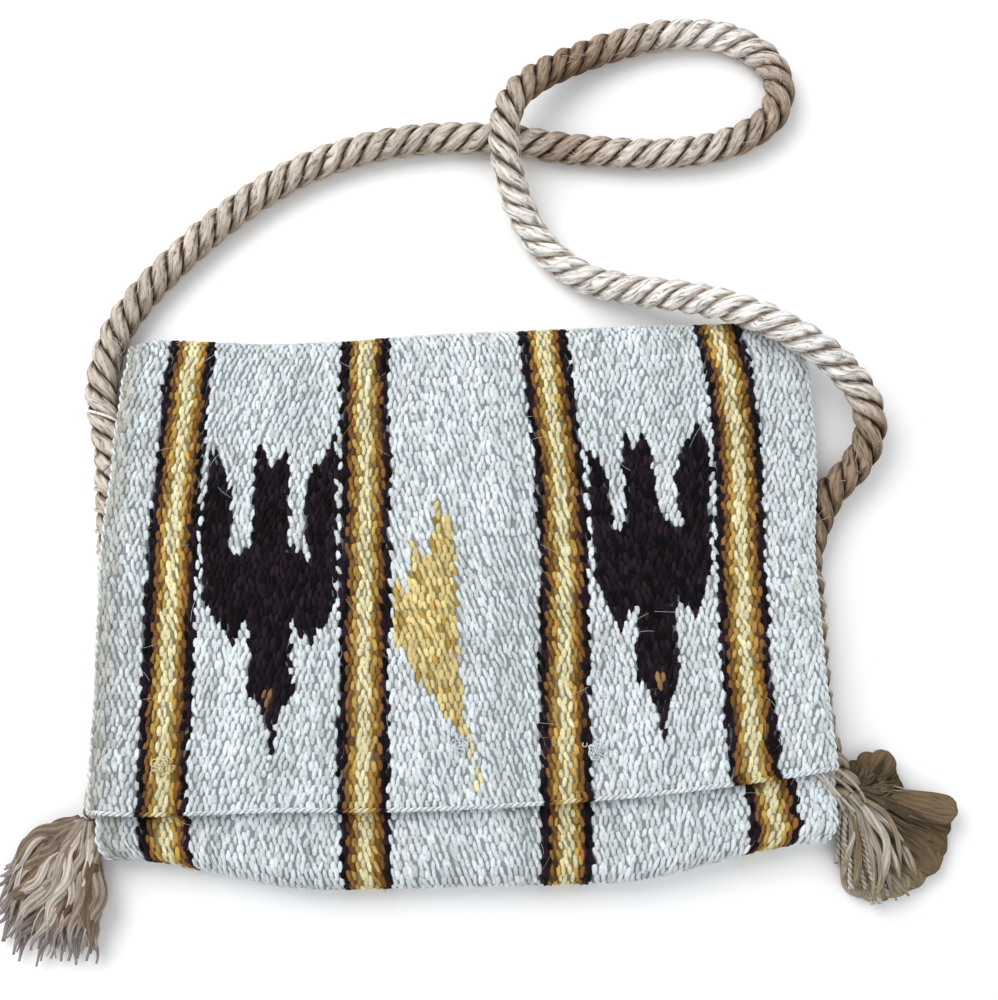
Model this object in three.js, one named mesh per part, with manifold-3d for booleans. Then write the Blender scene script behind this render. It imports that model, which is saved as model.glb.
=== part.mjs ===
// Woven wool shoulder bag with a rope strap, lying on its back, in millimetres with +Z up.
// The origin is the middle of the back panel, on the surface that the bag lies on.
// +Y points to the fold at the top of the bag, +X to the right as the flap is seen.
import * as THREE from 'three';
import { mergeVertices } from 'three/addons/utils/BufferGeometryUtils.js';
import Module from 'manifold-3d';

const { smoothstep, degToRad, lerp, clamp } = THREE.MathUtils;

// Cloth: one folded strip, from the pocket's mouth round the bottom, up the back and over to the flap
const CLOTH_T = 3;
const STRIP_HALF_W = 143;
const TOP_Y = 117.6;
const TOP_SLANT = 0.02;
const TOP_CORNER_DROP = 3.5;
const TOP_CORNER_X = { from: 122, to: 142 };
const BOTTOM_Y = -109;
const BOTTOM_CORNER_RISE = 13.2;
const BOTTOM_CORNER_X = { from: 55, to: 140 };
const MOUTH_Y = 98;
const HEM_Y = -78.3;
const HEM_SLANT = 0.02;
const HEM_BOW = 9;
const BOTTOM_FOLD_DEPTH = 8;
const TOP_FOLD_DEPTH = 10;

// Side edges of the strip's three runs: x of the left and the right edge, from the top down
const FRONT_SIDES = [
  { y: 98, left: -138.4, right: 140 },
  { y: 56, left: -138.4, right: 140 },
  { y: 20, left: -142.5, right: 140.6 },
  { y: -95, left: -143.6, right: 142.8 },
];
const BACK_SIDES = [
  { y: 74, left: -139.5, right: 140.3 },
  { y: 55, left: -138.6, right: 140 },
  { y: 12, left: -135.3, right: 132.9 },
];
const FLAP_SIDES = [
  { y: 116, left: -137, right: 140.5 },
  { y: 96, left: -141.2, right: 145 },
  { y: 70, left: -143.5, right: 145.5 },
  { y: 14, left: -146.4, right: 141.2 },
  { y: -20, left: -146.5, right: 142 },
  { y: -75, left: -147.4, right: 144.6 },
];

// Heights of the middle of the cloth: at the side edges, and how much the middle swells above that
const BACK_Z = CLOTH_T / 2;
const FRONT_SIDE_Z = 11;
const FRONT_CROWN = 8;
const FLAP_SIDE_Z = 15.9;
const FLAP_CROWN = 6.9;
const FRONT_EDGE_LIFT = 4.9;
const FLAP_EDGE_LIFT = 3.5;
const EDGE_LIFT_Y = { from: 75, to: 32 };
const CROWN_POWER = 2.6;
const THINNER_BELOW = { share: 0.5, from: -30, to: -105 };
const THINNER_ABOVE = { share: 0.25, from: 20, to: 105 };
const FLAP_WAVE = 1.3;
const FLAP_WAVE_PITCH = 74;
const FLAP_WAVE_AT = -8;
const FLAP_WAVE_Y = { from: -20, to: 100 };

// Rope: sewn down both side seams, and free between them as the strap
const ROPE_D = 13.6;
const ROPE_SIDES = 10;
const FLOOR_GAP = 0.3;
const SEAM_Z = ROPE_D / 2 + FLOOR_GAP;
const PIECE_GAP = 0.3;
const STRAP_STEPS = 72;
const SEAM_STEPS = 14;

// Middle lines of the rope in the seams, from the tassel up; the cloth's edges lie over it
const LEFT_SEAM = [
  { x: -147.2, y: -70 },
  { x: -146.1, y: -66 },
  { x: -143.4, y: -54 },
  { x: -142.4, y: -38 },
  { x: -142.4, y: 10 },
  { x: -144.2, y: 34 },
  { x: -146, y: 58 },
  { x: -146.3, y: 62 },
];
const RIGHT_SEAM = [
  { x: 147, y: -70 },
  { x: 145, y: -66.4 },
  { x: 141.6, y: -56 },
  { x: 140, y: -41 },
  { x: 140, y: 6 },
  { x: 140, y: 12 },
];

// Strap's middle line, from the left seam to the right one
const STRAP_ROUTE = [
  { x: -146.32, y: 62.3, z: 7.1 },
  { x: -146.7, y: 67.3, z: 7.1 },
  { x: -148.6, y: 80, z: 7.1 },
  { x: -151.4, y: 94, z: 7.1 },
  { x: -150.5, y: 108, z: 7.1 },
  { x: -143, y: 129, z: 7.1 },
  { x: -111, y: 165.5, z: 7.1 },
  { x: -69, y: 195.4, z: 7.1 },
  { x: -25, y: 208.5, z: 7.1 },
  { x: 21, y: 208.6, z: 7.1 },
  { x: 45, y: 204, z: 7.1 },
  { x: 86, y: 200, z: 7.1 },
  { x: 117, y: 203.7, z: 7.1 },
  { x: 137.6, y: 215.6, z: 7.1 },
  { x: 143, y: 230, z: 7.1 },
  { x: 137.6, y: 244.4, z: 7.1 },
  { x: 120, y: 255.3, z: 7.1 },
  { x: 96, y: 257.5, z: 7.1 },
  { x: 70, y: 252, z: 7.5 },
  { x: 50.9, y: 243.5, z: 10.4 },
  { x: 34, y: 232, z: 16 },
  { x: 24.5, y: 220, z: 20.2 },
  { x: 21, y: 207.5, z: 21.4 },
  { x: 21.5, y: 193.5, z: 19 },
  { x: 26.5, y: 175.5, z: 11.4 },
  { x: 37, y: 157, z: 7.6 },
  { x: 54, y: 142.5, z: 8 },
  { x: 75, y: 134.6, z: 13 },
  { x: 96, y: 128.4, z: 19.8 },
  { x: 116, y: 121, z: 24.8 },
  { x: 136, y: 111, z: 25.6 },
  { x: 152, y: 100.6, z: 22.9 },
  { x: 166, y: 86.5, z: 16.4 },
  { x: 169.8, y: 74, z: 12.2 },
  { x: 166.4, y: 62, z: 9 },
  { x: 159.6, y: 53.6, z: 7.5 },
  { x: 153, y: 47.2, z: 7.1 },
  { x: 148.2, y: 40, z: 7.1 },
  { x: 144.6, y: 32, z: 7.1 },
  { x: 141.6, y: 24, z: 7.1 },
  { x: 140, y: 16.3, z: 7.1 },
  { x: 140, y: 12.3, z: 7.1 },
];

// Tassels: the rope's ends, opened out; angles turn from +X to +Y, reach runs out from the neck
const LOCK_SIDES = 8;
const LOCK_FLATNESS = 1.3;
const LOCK_RINGS = [
  { along: 0, width: 0.72 },
  { along: 0.22, width: 0.95 },
  { along: 0.55, width: 1 },
  { along: 0.85, width: 0.86 },
  { along: 0.96, width: 0.6 },
  { along: 1, width: 0.22 },
];
const HEAD_LENGTH = 9;
const NECK_SHARE = 0.75;
const SLOPE_STEP = 0.01;
const LEFT_LOCKS = [
  { angle: 206, reach: 41, radius: 5, tip: 5.5, bend: 2 },
  { angle: 215, reach: 47, radius: 5.2, tip: 5.6, bend: -3 },
  { angle: 224, reach: 53, radius: 5.3, tip: 5.6, bend: 3 },
  { angle: 233, reach: 57, radius: 5.3, tip: 5.6, bend: -2 },
  { angle: 242, reach: 56, radius: 5.3, tip: 5.6, bend: 2 },
  { angle: 251, reach: 54, radius: 5.2, tip: 5.5, bend: -3 },
  { angle: 260, reach: 53, radius: 5, tip: 5.4, bend: -2 },
  { angle: 268, reach: 52, radius: 4.7, tip: 5, bend: -2 },
  { angle: 214, reach: 37, radius: 4.8, tip: 12, bend: -2 },
  { angle: 227, reach: 43, radius: 5, tip: 12.5, bend: 2 },
  { angle: 241, reach: 45, radius: 5, tip: 12.5, bend: -2 },
  { angle: 255, reach: 42, radius: 4.8, tip: 12, bend: -2 },
];
const RIGHT_LOCKS = [
  { angle: 52, reach: 21, radius: 4.6, tip: 6, bend: -7 },
  { angle: 34, reach: 26, radius: 5, tip: 5.6, bend: -5 },
  { angle: 15, reach: 33, radius: 5.2, tip: 5.6, bend: -3 },
  { angle: 0, reach: 40, radius: 5.3, tip: 5.6, bend: 3 },
  { angle: -14, reach: 43, radius: 5.3, tip: 5.6, bend: -2 },
  { angle: -28, reach: 44, radius: 5.3, tip: 5.6, bend: 3 },
  { angle: -42, reach: 43, radius: 5.2, tip: 5.6, bend: -2 },
  { angle: -56, reach: 43, radius: 5, tip: 5.4, bend: 2 },
  { angle: -69, reach: 42, radius: 4.8, tip: 5.2, bend: 2 },
  { angle: -81, reach: 42, radius: 4.6, tip: 5, bend: 3 },
  { angle: 4, reach: 29, radius: 4.8, tip: 12.2, bend: -2 },
  { angle: -16, reach: 35, radius: 5, tip: 12.8, bend: -2 },
  { angle: -38, reach: 36, radius: 5, tip: 12.8, bend: 2 },
  { angle: -60, reach: 34, radius: 4.8, tip: 12.2, bend: -2 },
];

const vec = (x, y, z) => new THREE.Vector3(x, y, z);

// Outer lines of the bag seen from above, each a function of the place across it
const rise = (value, { from, to }) => smoothstep(value, from, to);
const fall = (value, { from, to }) => smoothstep(-value, -from, -to);
const topLine = (x) => TOP_Y + TOP_SLANT * x - TOP_CORNER_DROP * rise(Math.abs(x), TOP_CORNER_X);
const bottomLine = (x) => BOTTOM_Y + BOTTOM_CORNER_RISE * rise(Math.abs(x), BOTTOM_CORNER_X);
const hemLine = (x) => HEM_Y + HEM_SLANT * x + HEM_BOW * (x / STRIP_HALF_W) ** 2;

// The place across a run: u goes from -1 at the left edge to 1 at the right, the edges ease from row to row
function across(sides, u, y) {
  const below = sides.findIndex((row) => row.y < y);
  const k = below < 0 ? sides.length - 1 : Math.max(below, 1);
  const [upper, lower] = [sides[k - 1], sides[k]];
  const f = fall(y, { from: upper.y, to: lower.y });
  return lerp(lerp(upper.left, lower.left, f), lerp(upper.right, lower.right, f), (u + 1) / 2);
}

// Heights of the front panel and of the flap that lies on it
const thinnerBelow = (y) => THINNER_BELOW.share * fall(y, THINNER_BELOW);
const thinnerAbove = (y) => THINNER_ABOVE.share * rise(y, THINNER_ABOVE);
const fullness = (y) => 1 - thinnerBelow(y) - thinnerAbove(y);
const crown = (share) => 1 - Math.abs(share) ** CROWN_POWER;
const edgeLift = (u, y) => (1 - crown(u)) * fall(y, EDGE_LIFT_Y);
const frontSwell = (u, y) => FRONT_EDGE_LIFT * edgeLift(u, y) + FRONT_CROWN * crown(u) * fullness(y);
const frontZ = (u, y) => FRONT_SIDE_Z + frontSwell(u, y);

function flapZ(u, x, y) {
  const turn = (2 * Math.PI * (x - FLAP_WAVE_AT)) / FLAP_WAVE_PITCH;
  const wave = FLAP_WAVE * (0.5 + 0.5 * Math.cos(turn)) * rise(y, FLAP_WAVE_Y);
  return FLAP_SIDE_Z + FLAP_EDGE_LIFT * edgeLift(u, y) + (FLAP_CROWN * fullness(y) + wave) * crown(u);
}

// Half turn of an ellipse between two heights, f running from 0 to 1 along it
function foldPoint(x, edgeY, depth, fromZ, toZ, f) {
  const turn = Math.PI * f;
  const y = edgeY + depth * Math.sin(turn);
  return vec(x, y, lerp(fromZ, toZ, 0.5 - 0.5 * Math.cos(turn)));
}

// Heights where the flat runs meet the two folds
const bottomStart = (u) => bottomLine(u * STRIP_HALF_W) + BOTTOM_FOLD_DEPTH;
const topStart = (u) => topLine(u * STRIP_HALF_W) - TOP_FOLD_DEPTH;

// The strip's runs in order: down the front, round the bottom, up the back, over the top, down the flap
const CLOTH_RUNS = [
  {
    steps: 11,
    place: (u, f) => {
      const y = lerp(MOUTH_Y, bottomStart(u), f);
      return vec(across(FRONT_SIDES, u, y), y, frontZ(u, y));
    },
  },
  {
    steps: 7,
    place: (u, f) => {
      const y = bottomStart(u);
      const x = lerp(across(FRONT_SIDES, u, y), across(BACK_SIDES, u, y), f);
      return foldPoint(x, y, CLOTH_T / 2 - BOTTOM_FOLD_DEPTH, frontZ(u, y), BACK_Z, f);
    },
  },
  {
    steps: 9,
    place: (u, f) => {
      const y = lerp(bottomStart(u), topStart(u), f);
      return vec(across(BACK_SIDES, u, y), y, BACK_Z);
    },
  },
  {
    steps: 8,
    place: (u, f) => {
      const y = topStart(u);
      const flapX = across(FLAP_SIDES, u, y);
      const x = lerp(across(BACK_SIDES, u, y), flapX, f);
      return foldPoint(x, y, TOP_FOLD_DEPTH - CLOTH_T / 2, BACK_Z, flapZ(u, flapX, y), f);
    },
  },
  {
    steps: 13,
    place: (u, f) => {
      const y = lerp(topStart(u), hemLine(u * STRIP_HALF_W), f);
      const x = across(FLAP_SIDES, u, y);
      return vec(x, y, flapZ(u, x, y));
    },
  },
];
const CLOTH_COLUMNS = 20;
const EDGE_CROWDING = 0.25;

// A closed skin over rings of equal length; each end is closed by strips across the ring
function loft(rings) {
  const n = rings[0].length;
  const index = [];
  const quad = (a, b, c, d) => index.push(a, b, c, a, c, d);
  for (let j = 0; j + 1 < rings.length; j++) {
    for (let k = 0; k < n; k++) {
      const next = (k + 1) % n;
      quad(j * n + k, (j + 1) * n + k, (j + 1) * n + next, j * n + next);
    }
  }
  const last = (rings.length - 1) * n;
  for (let k = 0; k < n / 2 - 1; k++) {
    const m = n - 1 - k;
    quad(k, k + 1, m - 1, m);
    quad(last + m, last + m - 1, last + k + 1, last + k);
  }
  const geometry = new THREE.BufferGeometry().setFromPoints(rings.flat());
  geometry.setIndex(index);
  return geometry;
}

// Columns crowd towards the side edges, where the cloth turns down over the rope
function columnShare(i) {
  const t = (2 * i) / CLOTH_COLUMNS - 1;
  return t * (1 + EDGE_CROWDING * (1 - t * t));
}

function clothRows() {
  const rows = [];
  CLOTH_RUNS.forEach(({ steps, place }, run) => {
    const isLast = run === CLOTH_RUNS.length - 1;
    for (let j = 0; j < steps + (isLast ? 1 : 0); j++) {
      const row = [];
      for (let i = 0; i <= CLOTH_COLUMNS; i++) row.push(place(columnShare(i), j / steps));
      rows.push(row);
    }
  });
  return rows;
}

// The strip's wall: each row's points moved half the thickness out, then back along the inside
function clothGeometry() {
  const rows = clothRows();
  const at = (j, i) => rows[clamp(j, 0, rows.length - 1)][clamp(i, 0, CLOTH_COLUMNS)];
  const rings = rows.map((row, j) => {
    const outer = [];
    const inner = [];
    row.forEach((point, i) => {
      const along = at(j + 1, i).clone().sub(at(j - 1, i));
      const across = at(j, i + 1).clone().sub(at(j, i - 1));
      const half = along.cross(across).setLength(CLOTH_T / 2);
      outer.push(point.clone().add(half));
      inner.unshift(point.clone().sub(half));
    });
    return [...outer, ...inner];
  });
  return loft(rings);
}

// A round rope along points, cut square at both ends
function ropeGeometry(points, steps) {
  const corners = Array.from({ length: ROPE_SIDES }, (_, k) => {
    const turn = (2 * Math.PI * k) / ROPE_SIDES;
    return new THREE.Vector2(Math.cos(turn), Math.sin(turn)).multiplyScalar(ROPE_D / 2);
  });
  const geometry = new THREE.ExtrudeGeometry(new THREE.Shape(corners), {
    steps,
    bevelEnabled: false,
    extrudePath: new THREE.CatmullRomCurve3(points),
  });
  return positionsOnly(geometry);
}

const seamPoints = (seam) => seam.map(({ x, y }) => vec(x, y, SEAM_Z));

const WELD_DISTANCE = 1e-4;

function positionsOnly(geometry) {
  geometry.deleteAttribute('normal');
  geometry.deleteAttribute('uv');
  return mergeVertices(geometry, WELD_DISTANCE);
}

const wasm = await Module();
wasm.setup();

function toSolid(geometry) {
  const vertProperties = new Float32Array(geometry.attributes.position.array);
  const triVerts = new Uint32Array(geometry.index.array);
  return new wasm.Manifold(new wasm.Mesh({ numProp: 3, vertProperties, triVerts }));
}

function fuse(geometries) {
  const whole = geometries.map(toSolid).reduce((all, next) => all.add(next));
  const mesh = whole.getMesh();
  const geometry = new THREE.BufferGeometry();
  geometry.setAttribute('position', new THREE.BufferAttribute(mesh.vertProperties, 3));
  geometry.setIndex(new THREE.BufferAttribute(mesh.triVerts, 1));
  return geometry;
}

// One lock of yarn: a fat tapered tube that leaves the neck, dips or rises to its tip and ends round
function lockGeometry(neck, { angle, reach, radius, tip, bend }) {
  const turn = degToRad(angle);
  const out = vec(Math.cos(turn), Math.sin(turn), 0);
  const side = vec(-out.y, out.x, 0);
  const centre = (s) => neck.clone()
    .addScaledVector(out, reach * s)
    .addScaledVector(side, bend * Math.sin(Math.PI * s))
    .setZ(lerp(neck.z, tip, smoothstep(s, 0, 1)));
  const rings = LOCK_RINGS.map(({ along, width }) => {
    const middle = centre(along);
    const ahead = centre(along + SLOPE_STEP).sub(centre(along - SLOPE_STEP)).normalize();
    const flat = vec(-ahead.y, ahead.x, 0).normalize();
    const up = ahead.clone().cross(flat);
    return Array.from({ length: LOCK_SIDES }, (_, k) => {
      const phi = (2 * Math.PI * (k + 0.5)) / LOCK_SIDES;
      return middle.clone()
        .addScaledVector(flat, LOCK_FLATNESS * radius * width * Math.cos(phi))
        .addScaledVector(up, -radius * width * Math.sin(phi));
    });
  });
  return loft(rings);
}

// The bound head carries on straight from the seam's rope, and the locks fan out from its lower end
function tasselGeometry(seam, locks) {
  const [end, inside] = seamPoints(seam);
  const ahead = end.clone().sub(inside).normalize();
  const at = (distance) => end.clone().addScaledVector(ahead, PIECE_GAP + distance);
  const head = ropeGeometry([at(0), at(HEAD_LENGTH)], 1);
  const neck = at(HEAD_LENGTH * NECK_SHARE);
  return fuse([head, ...locks.map((lock) => lockGeometry(neck, lock))]);
}

const wool = { color: 0xd6dad6, roughness: 0.95, metalness: 0 };
const rope = { color: 0xb7a491, roughness: 0.9, metalness: 0 };
const openedRope = { color: 0x9a8568, roughness: 0.92, metalness: 0 };

function piece(name, geometry, finish) {
  geometry.computeVertexNormals();
  const mesh = new THREE.Mesh(geometry, new THREE.MeshStandardMaterial(finish));
  mesh.name = name;
  return mesh;
}

const strapPoints = STRAP_ROUTE.map(({ x, y, z }) => vec(x, y, z));

const bag = new THREE.Group();
bag.add(
  piece('woven_cloth', clothGeometry(), wool),
  piece('left_side_rope', ropeGeometry(seamPoints(LEFT_SEAM), SEAM_STEPS), rope),
  piece('right_side_rope', ropeGeometry(seamPoints(RIGHT_SEAM), SEAM_STEPS), rope),
  piece('strap_rope', ropeGeometry(strapPoints, STRAP_STEPS), rope),
  piece('left_tassel', tasselGeometry(LEFT_SEAM, LEFT_LOCKS), openedRope),
  piece('right_tassel', tasselGeometry(RIGHT_SEAM, RIGHT_LOCKS), openedRope),
);

export default bag;
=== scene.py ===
# %% [markdown]
# # A woven wool shoulder bag with a rope strap
#
# The bag lies on its back. One strip of weft-faced wool cloth is folded into a pocket with a flap, and one laid
# rope runs down both side seams and round between them as the shoulder strap. The rope's two ends are opened out
# into tassels. Shapes are worked out in millimetres, in the frame of the solid model, and become metres when a
# mesh is made.

# %% Load the solid model
import math

import bpy
import numpy as np
from mathutils import Matrix


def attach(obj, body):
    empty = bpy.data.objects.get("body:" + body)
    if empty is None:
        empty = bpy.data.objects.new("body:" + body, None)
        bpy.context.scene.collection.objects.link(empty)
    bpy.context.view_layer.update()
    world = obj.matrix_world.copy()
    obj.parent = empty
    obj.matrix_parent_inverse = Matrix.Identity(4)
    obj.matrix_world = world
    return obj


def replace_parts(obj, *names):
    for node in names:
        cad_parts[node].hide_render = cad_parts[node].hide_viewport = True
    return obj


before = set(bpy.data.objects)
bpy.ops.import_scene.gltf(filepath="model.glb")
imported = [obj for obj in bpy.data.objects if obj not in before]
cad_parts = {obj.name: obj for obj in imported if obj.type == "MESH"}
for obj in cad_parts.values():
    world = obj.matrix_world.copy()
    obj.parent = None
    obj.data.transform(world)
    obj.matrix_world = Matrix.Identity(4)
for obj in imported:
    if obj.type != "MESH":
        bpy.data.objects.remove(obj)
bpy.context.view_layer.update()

MM = 0.001
UP = np.array([0.0, 0.0, 1.0])
rng = np.random.default_rng(11)
print("nodes:", ", ".join(sorted(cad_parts)))

# %% [markdown]
# ## Camera
#
# The photograph looks down on the bag steeply from its bottom edge, from a little over half a metre away. A camera
# could be placed by eye, but the stripes of the flap are straight and parallel on the real bag, so the height, the
# distance and the slight roll are the ones that make them come out straight.

# %% Camera
AIM = np.array([15.0, 48.0, 0.0])
CAMERA_DISTANCE = 620.0
CAMERA_ELEVATION = math.radians(77)
CAMERA_ROLL = math.radians(1.3)
PHOTO_WIDTH = 998
FOCAL_PIXELS = 1480
SENSOR_WIDTH = 36.0


def photo_camera():
    """A camera whose back axis leans up from -Y by the elevation, and whose other axes turn by the roll."""
    back = np.array([0.0, -math.cos(CAMERA_ELEVATION), math.sin(CAMERA_ELEVATION)])
    level = np.array([1.0, 0.0, 0.0])
    raised = np.cross(back, level)
    right = math.cos(CAMERA_ROLL) * level - math.sin(CAMERA_ROLL) * raised
    top = math.sin(CAMERA_ROLL) * level + math.cos(CAMERA_ROLL) * raised
    place = np.eye(4)
    place[:3] = np.column_stack([right, top, back, (AIM + CAMERA_DISTANCE * back) * MM])
    data = bpy.data.cameras.new("photo_camera")
    data.sensor_fit = "HORIZONTAL"
    data.sensor_width = SENSOR_WIDTH
    data.lens = FOCAL_PIXELS / PHOTO_WIDTH * SENSOR_WIDTH
    data.clip_start = 0.01
    camera = bpy.data.objects.new("photo_camera", data)
    camera.matrix_world = Matrix(place.tolist())
    bpy.context.scene.collection.objects.link(camera)
    bpy.context.scene.camera = camera
    return camera


print("camera lens:", round(photo_camera().data.lens, 2), "mm")

# %% [markdown]
# ## Meshes from whole arrays
#
# Every piece below is a set of tubes or a surface over a grid. Blender could sweep curves for the tubes, but arrays
# let a strand carry its own ridges and its own colour at every point. One helper numbers the faces of a grid, one
# closes a batch of tubes, and one hands the arrays to Blender.

# %% Mesh helpers
def srgb(code):
    """A six-digit colour code as linear red, green and blue."""
    c = np.array([int(code[k:k + 2], 16) for k in (0, 2, 4)]) / 255
    return np.where(c <= 0.04045, c / 12.92, ((c + 0.055) / 1.055) ** 2.4)


def smooth(value, start, end):
    """Smoothstep: 0 at start, 1 at end, and level at both."""
    t = np.clip((value - start) / (end - start), 0, 1)
    return t * t * (3 - 2 * t)


def unit(vectors):
    """Each vector divided by its length."""
    return vectors / np.linalg.norm(vectors, axis=-1, keepdims=True)


def mix(first, second, share):
    """The straight blend from first to second."""
    return first + (second - first) * share


def grid_quads(rows, columns, closed):
    """Corner numbers of the faces between neighbours in a grid; closed joins the last column to the first."""
    i = np.arange(rows - 1)[:, None]
    j = np.arange(columns if closed else columns - 1)[None, :]
    k = (j + 1) % columns
    corners = [i * columns + j, i * columns + k, (i + 1) * columns + k, (i + 1) * columns + j]
    return np.stack(corners, axis=-1).reshape(-1, 4)


def tubes(centres, across, upward, widths, heights):
    """Many tubes at once: each ring point is its centre, plus a width across and a height upward.
    centres, across and upward are (tube, ring, 3); widths and heights are (tube, ring, side).
    Each end is closed by a fan to the middle of its last ring."""
    n, r, s = widths.shape
    rings = centres[:, :, None] + widths[..., None] * across[:, :, None] + heights[..., None] * upward[:, :, None]
    points = np.concatenate([rings.reshape(n, r * s, 3), centres[:, :1], centres[:, -1:]], axis=1)
    here = np.arange(s)
    beyond = (here + 1) % s
    last = (r - 1) * s
    first_fan = np.stack([np.full(s, r * s), beyond, here], axis=-1)
    last_fan = np.stack([last + here, last + beyond, np.full(s, r * s + 1)], axis=-1)
    base = (np.arange(n) * (r * s + 2))[:, None, None]
    quads = (grid_quads(r, s, True)[None] + base).reshape(-1, 4)
    fans = (np.concatenate([first_fan, last_fan])[None] + base).reshape(-1, 3)
    return points.reshape(-1, 3), [quads, fans]


def per_ring(values, sides):
    """Values of each tube's rings, repeated for the points of the ring and for the two closing points."""
    n, r = values.shape[:2]
    rest = values.shape[2:]
    spread = np.repeat(values[:, :, None], sides, axis=2).reshape(n, r * sides, *rest)
    return np.concatenate([spread, values[:, :1], values[:, -1:]], axis=1).reshape(-1, *rest)


def gather(shapes):
    """Several shapes of (points, faces, tint) as one: later corner numbers rise by the points before them."""
    starts = np.cumsum([0] + [len(points) for points, _, _ in shapes[:-1]])
    points = np.concatenate([shape[0] for shape in shapes])
    faces = [face + start for shape, start in zip(shapes, starts) for face in shape[1]]
    return points, faces, np.concatenate([shape[2] for shape in shapes])


def new_piece(name, points, faces, tint, slot, material, maps=()):
    """A smooth mesh from arrays, in metres, that rides on the bag, with its colours and its UV maps."""
    mesh = bpy.data.meshes.new(name)
    corners = np.concatenate([face.ravel() for face in faces]).astype(np.int32)
    sizes = np.concatenate([np.full(len(face), face.shape[1]) for face in faces])
    mesh.vertices.add(len(points))
    mesh.vertices.foreach_set("co", (points * MM).astype(np.float32).ravel())
    mesh.loops.add(len(corners))
    mesh.loops.foreach_set("vertex_index", corners)
    mesh.polygons.add(len(sizes))
    mesh.polygons.foreach_set("loop_start", (np.cumsum(sizes) - sizes).astype(np.int32))
    mesh.update(calc_edges=True)
    mesh.shade_smooth()
    colours = np.concatenate([np.clip(tint, 0, 1), np.ones((len(points), 1))], axis=1)
    layer = mesh.color_attributes.new("tint", "FLOAT_COLOR", "POINT")
    layer.data.foreach_set("color", colours.astype(np.float32).ravel())
    for map_name, places in maps:
        uv = mesh.uv_layers.new(name=map_name)
        uv.uv.foreach_set("vector", places[corners].astype(np.float32).ravel())
    mesh.materials.append(material)
    piece = bpy.data.objects.new(name, mesh)
    bpy.context.scene.collection.objects.link(piece)
    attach(piece, "root")
    print(f"{name}: {int((sizes - 2).sum())} triangles")
    return piece


print("mesh helpers ready")

# %% [markdown]
# ## Finishes
#
# Wool cloth, rope and opened rope are all spun fibre, so they share one node group. It takes a place on the surface
# and gives back a shade, which varies about one, and a height for the bump. The colours themselves are carried by
# the meshes as the attribute "tint", because the yarns change colour from grain to grain; in places the tint also
# holds painted shade and painted highlights. A picture could hold them, but no picture is made: each yarn is its own
# piece of geometry.

# %% Fibre finish
def new_node(tree, kind, values=(), **settings):
    """A new node in a tree, with the values of its inputs and its settings."""
    node = tree.nodes.new(kind)
    for name, setting in settings.items():
        setattr(node, name, setting)
    for socket, value in dict(values).items():
        node.inputs[socket].default_value = value
    return node


def join(tree, links):
    """Links in a tree, each given as a node, its output, the next node and its input."""
    for node, output, next_node, socket in links:
        tree.links.new(node.outputs[output], next_node.inputs[socket])


def fibre_group():
    """Two noises over the given place: a fine one for single hairs and a broad one for uneven dye.
    Where the fine one is low there are flecks, in which only a given share of the light is left."""
    group = bpy.data.node_groups.new("spun_fibre", "ShaderNodeTree")
    group.interface.new_socket(name="Place", in_out="INPUT", socket_type="NodeSocketVector")
    for name in ("Hair scale", "Dye scale", "Contrast", "Fleck light"):
        group.interface.new_socket(name=name, in_out="INPUT", socket_type="NodeSocketFloat")
    for name in ("Shade", "Height"):
        group.interface.new_socket(name=name, in_out="OUTPUT", socket_type="NodeSocketFloat")
    given, result = new_node(group, "NodeGroupInput"), new_node(group, "NodeGroupOutput")
    hair = new_node(group, "ShaderNodeTexNoise", {"Detail": 4, "Roughness": 0.65})
    dye = new_node(group, "ShaderNodeTexNoise", {"Detail": 2})
    blend = new_node(group, "ShaderNodeMix", {"Factor": 0.35})
    centred = new_node(group, "ShaderNodeMath", {1: 0.5}, operation="SUBTRACT")
    shade = new_node(group, "ShaderNodeMath", {2: 1.0}, operation="MULTIPLY_ADD")
    fleck = new_node(group, "ShaderNodeMapRange", {"From Min": 0.38, "From Max": 0.46},
                     interpolation_type="SMOOTHSTEP")
    flecked = new_node(group, "ShaderNodeMath", operation="MULTIPLY")
    join(group, [
        (given, "Place", hair, "Vector"), (given, "Place", dye, "Vector"),
        (given, "Hair scale", hair, "Scale"), (given, "Dye scale", dye, "Scale"),
        (hair, "Fac", blend, "A"), (dye, "Fac", blend, "B"), (blend, "Result", centred, 0),
        (centred, "Value", shade, 0), (given, "Contrast", shade, 1),
        (hair, "Fac", fleck, "Value"), (given, "Fleck light", fleck, "To Min"),
        (fleck, "Result", flecked, 0), (shade, "Value", flecked, 1),
        (flecked, "Value", result, "Shade"), (hair, "Fac", result, "Height"),
    ])
    return group


SPUN_FIBRE = fibre_group()
FIBRE_HEIGHT = 0.0006


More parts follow.
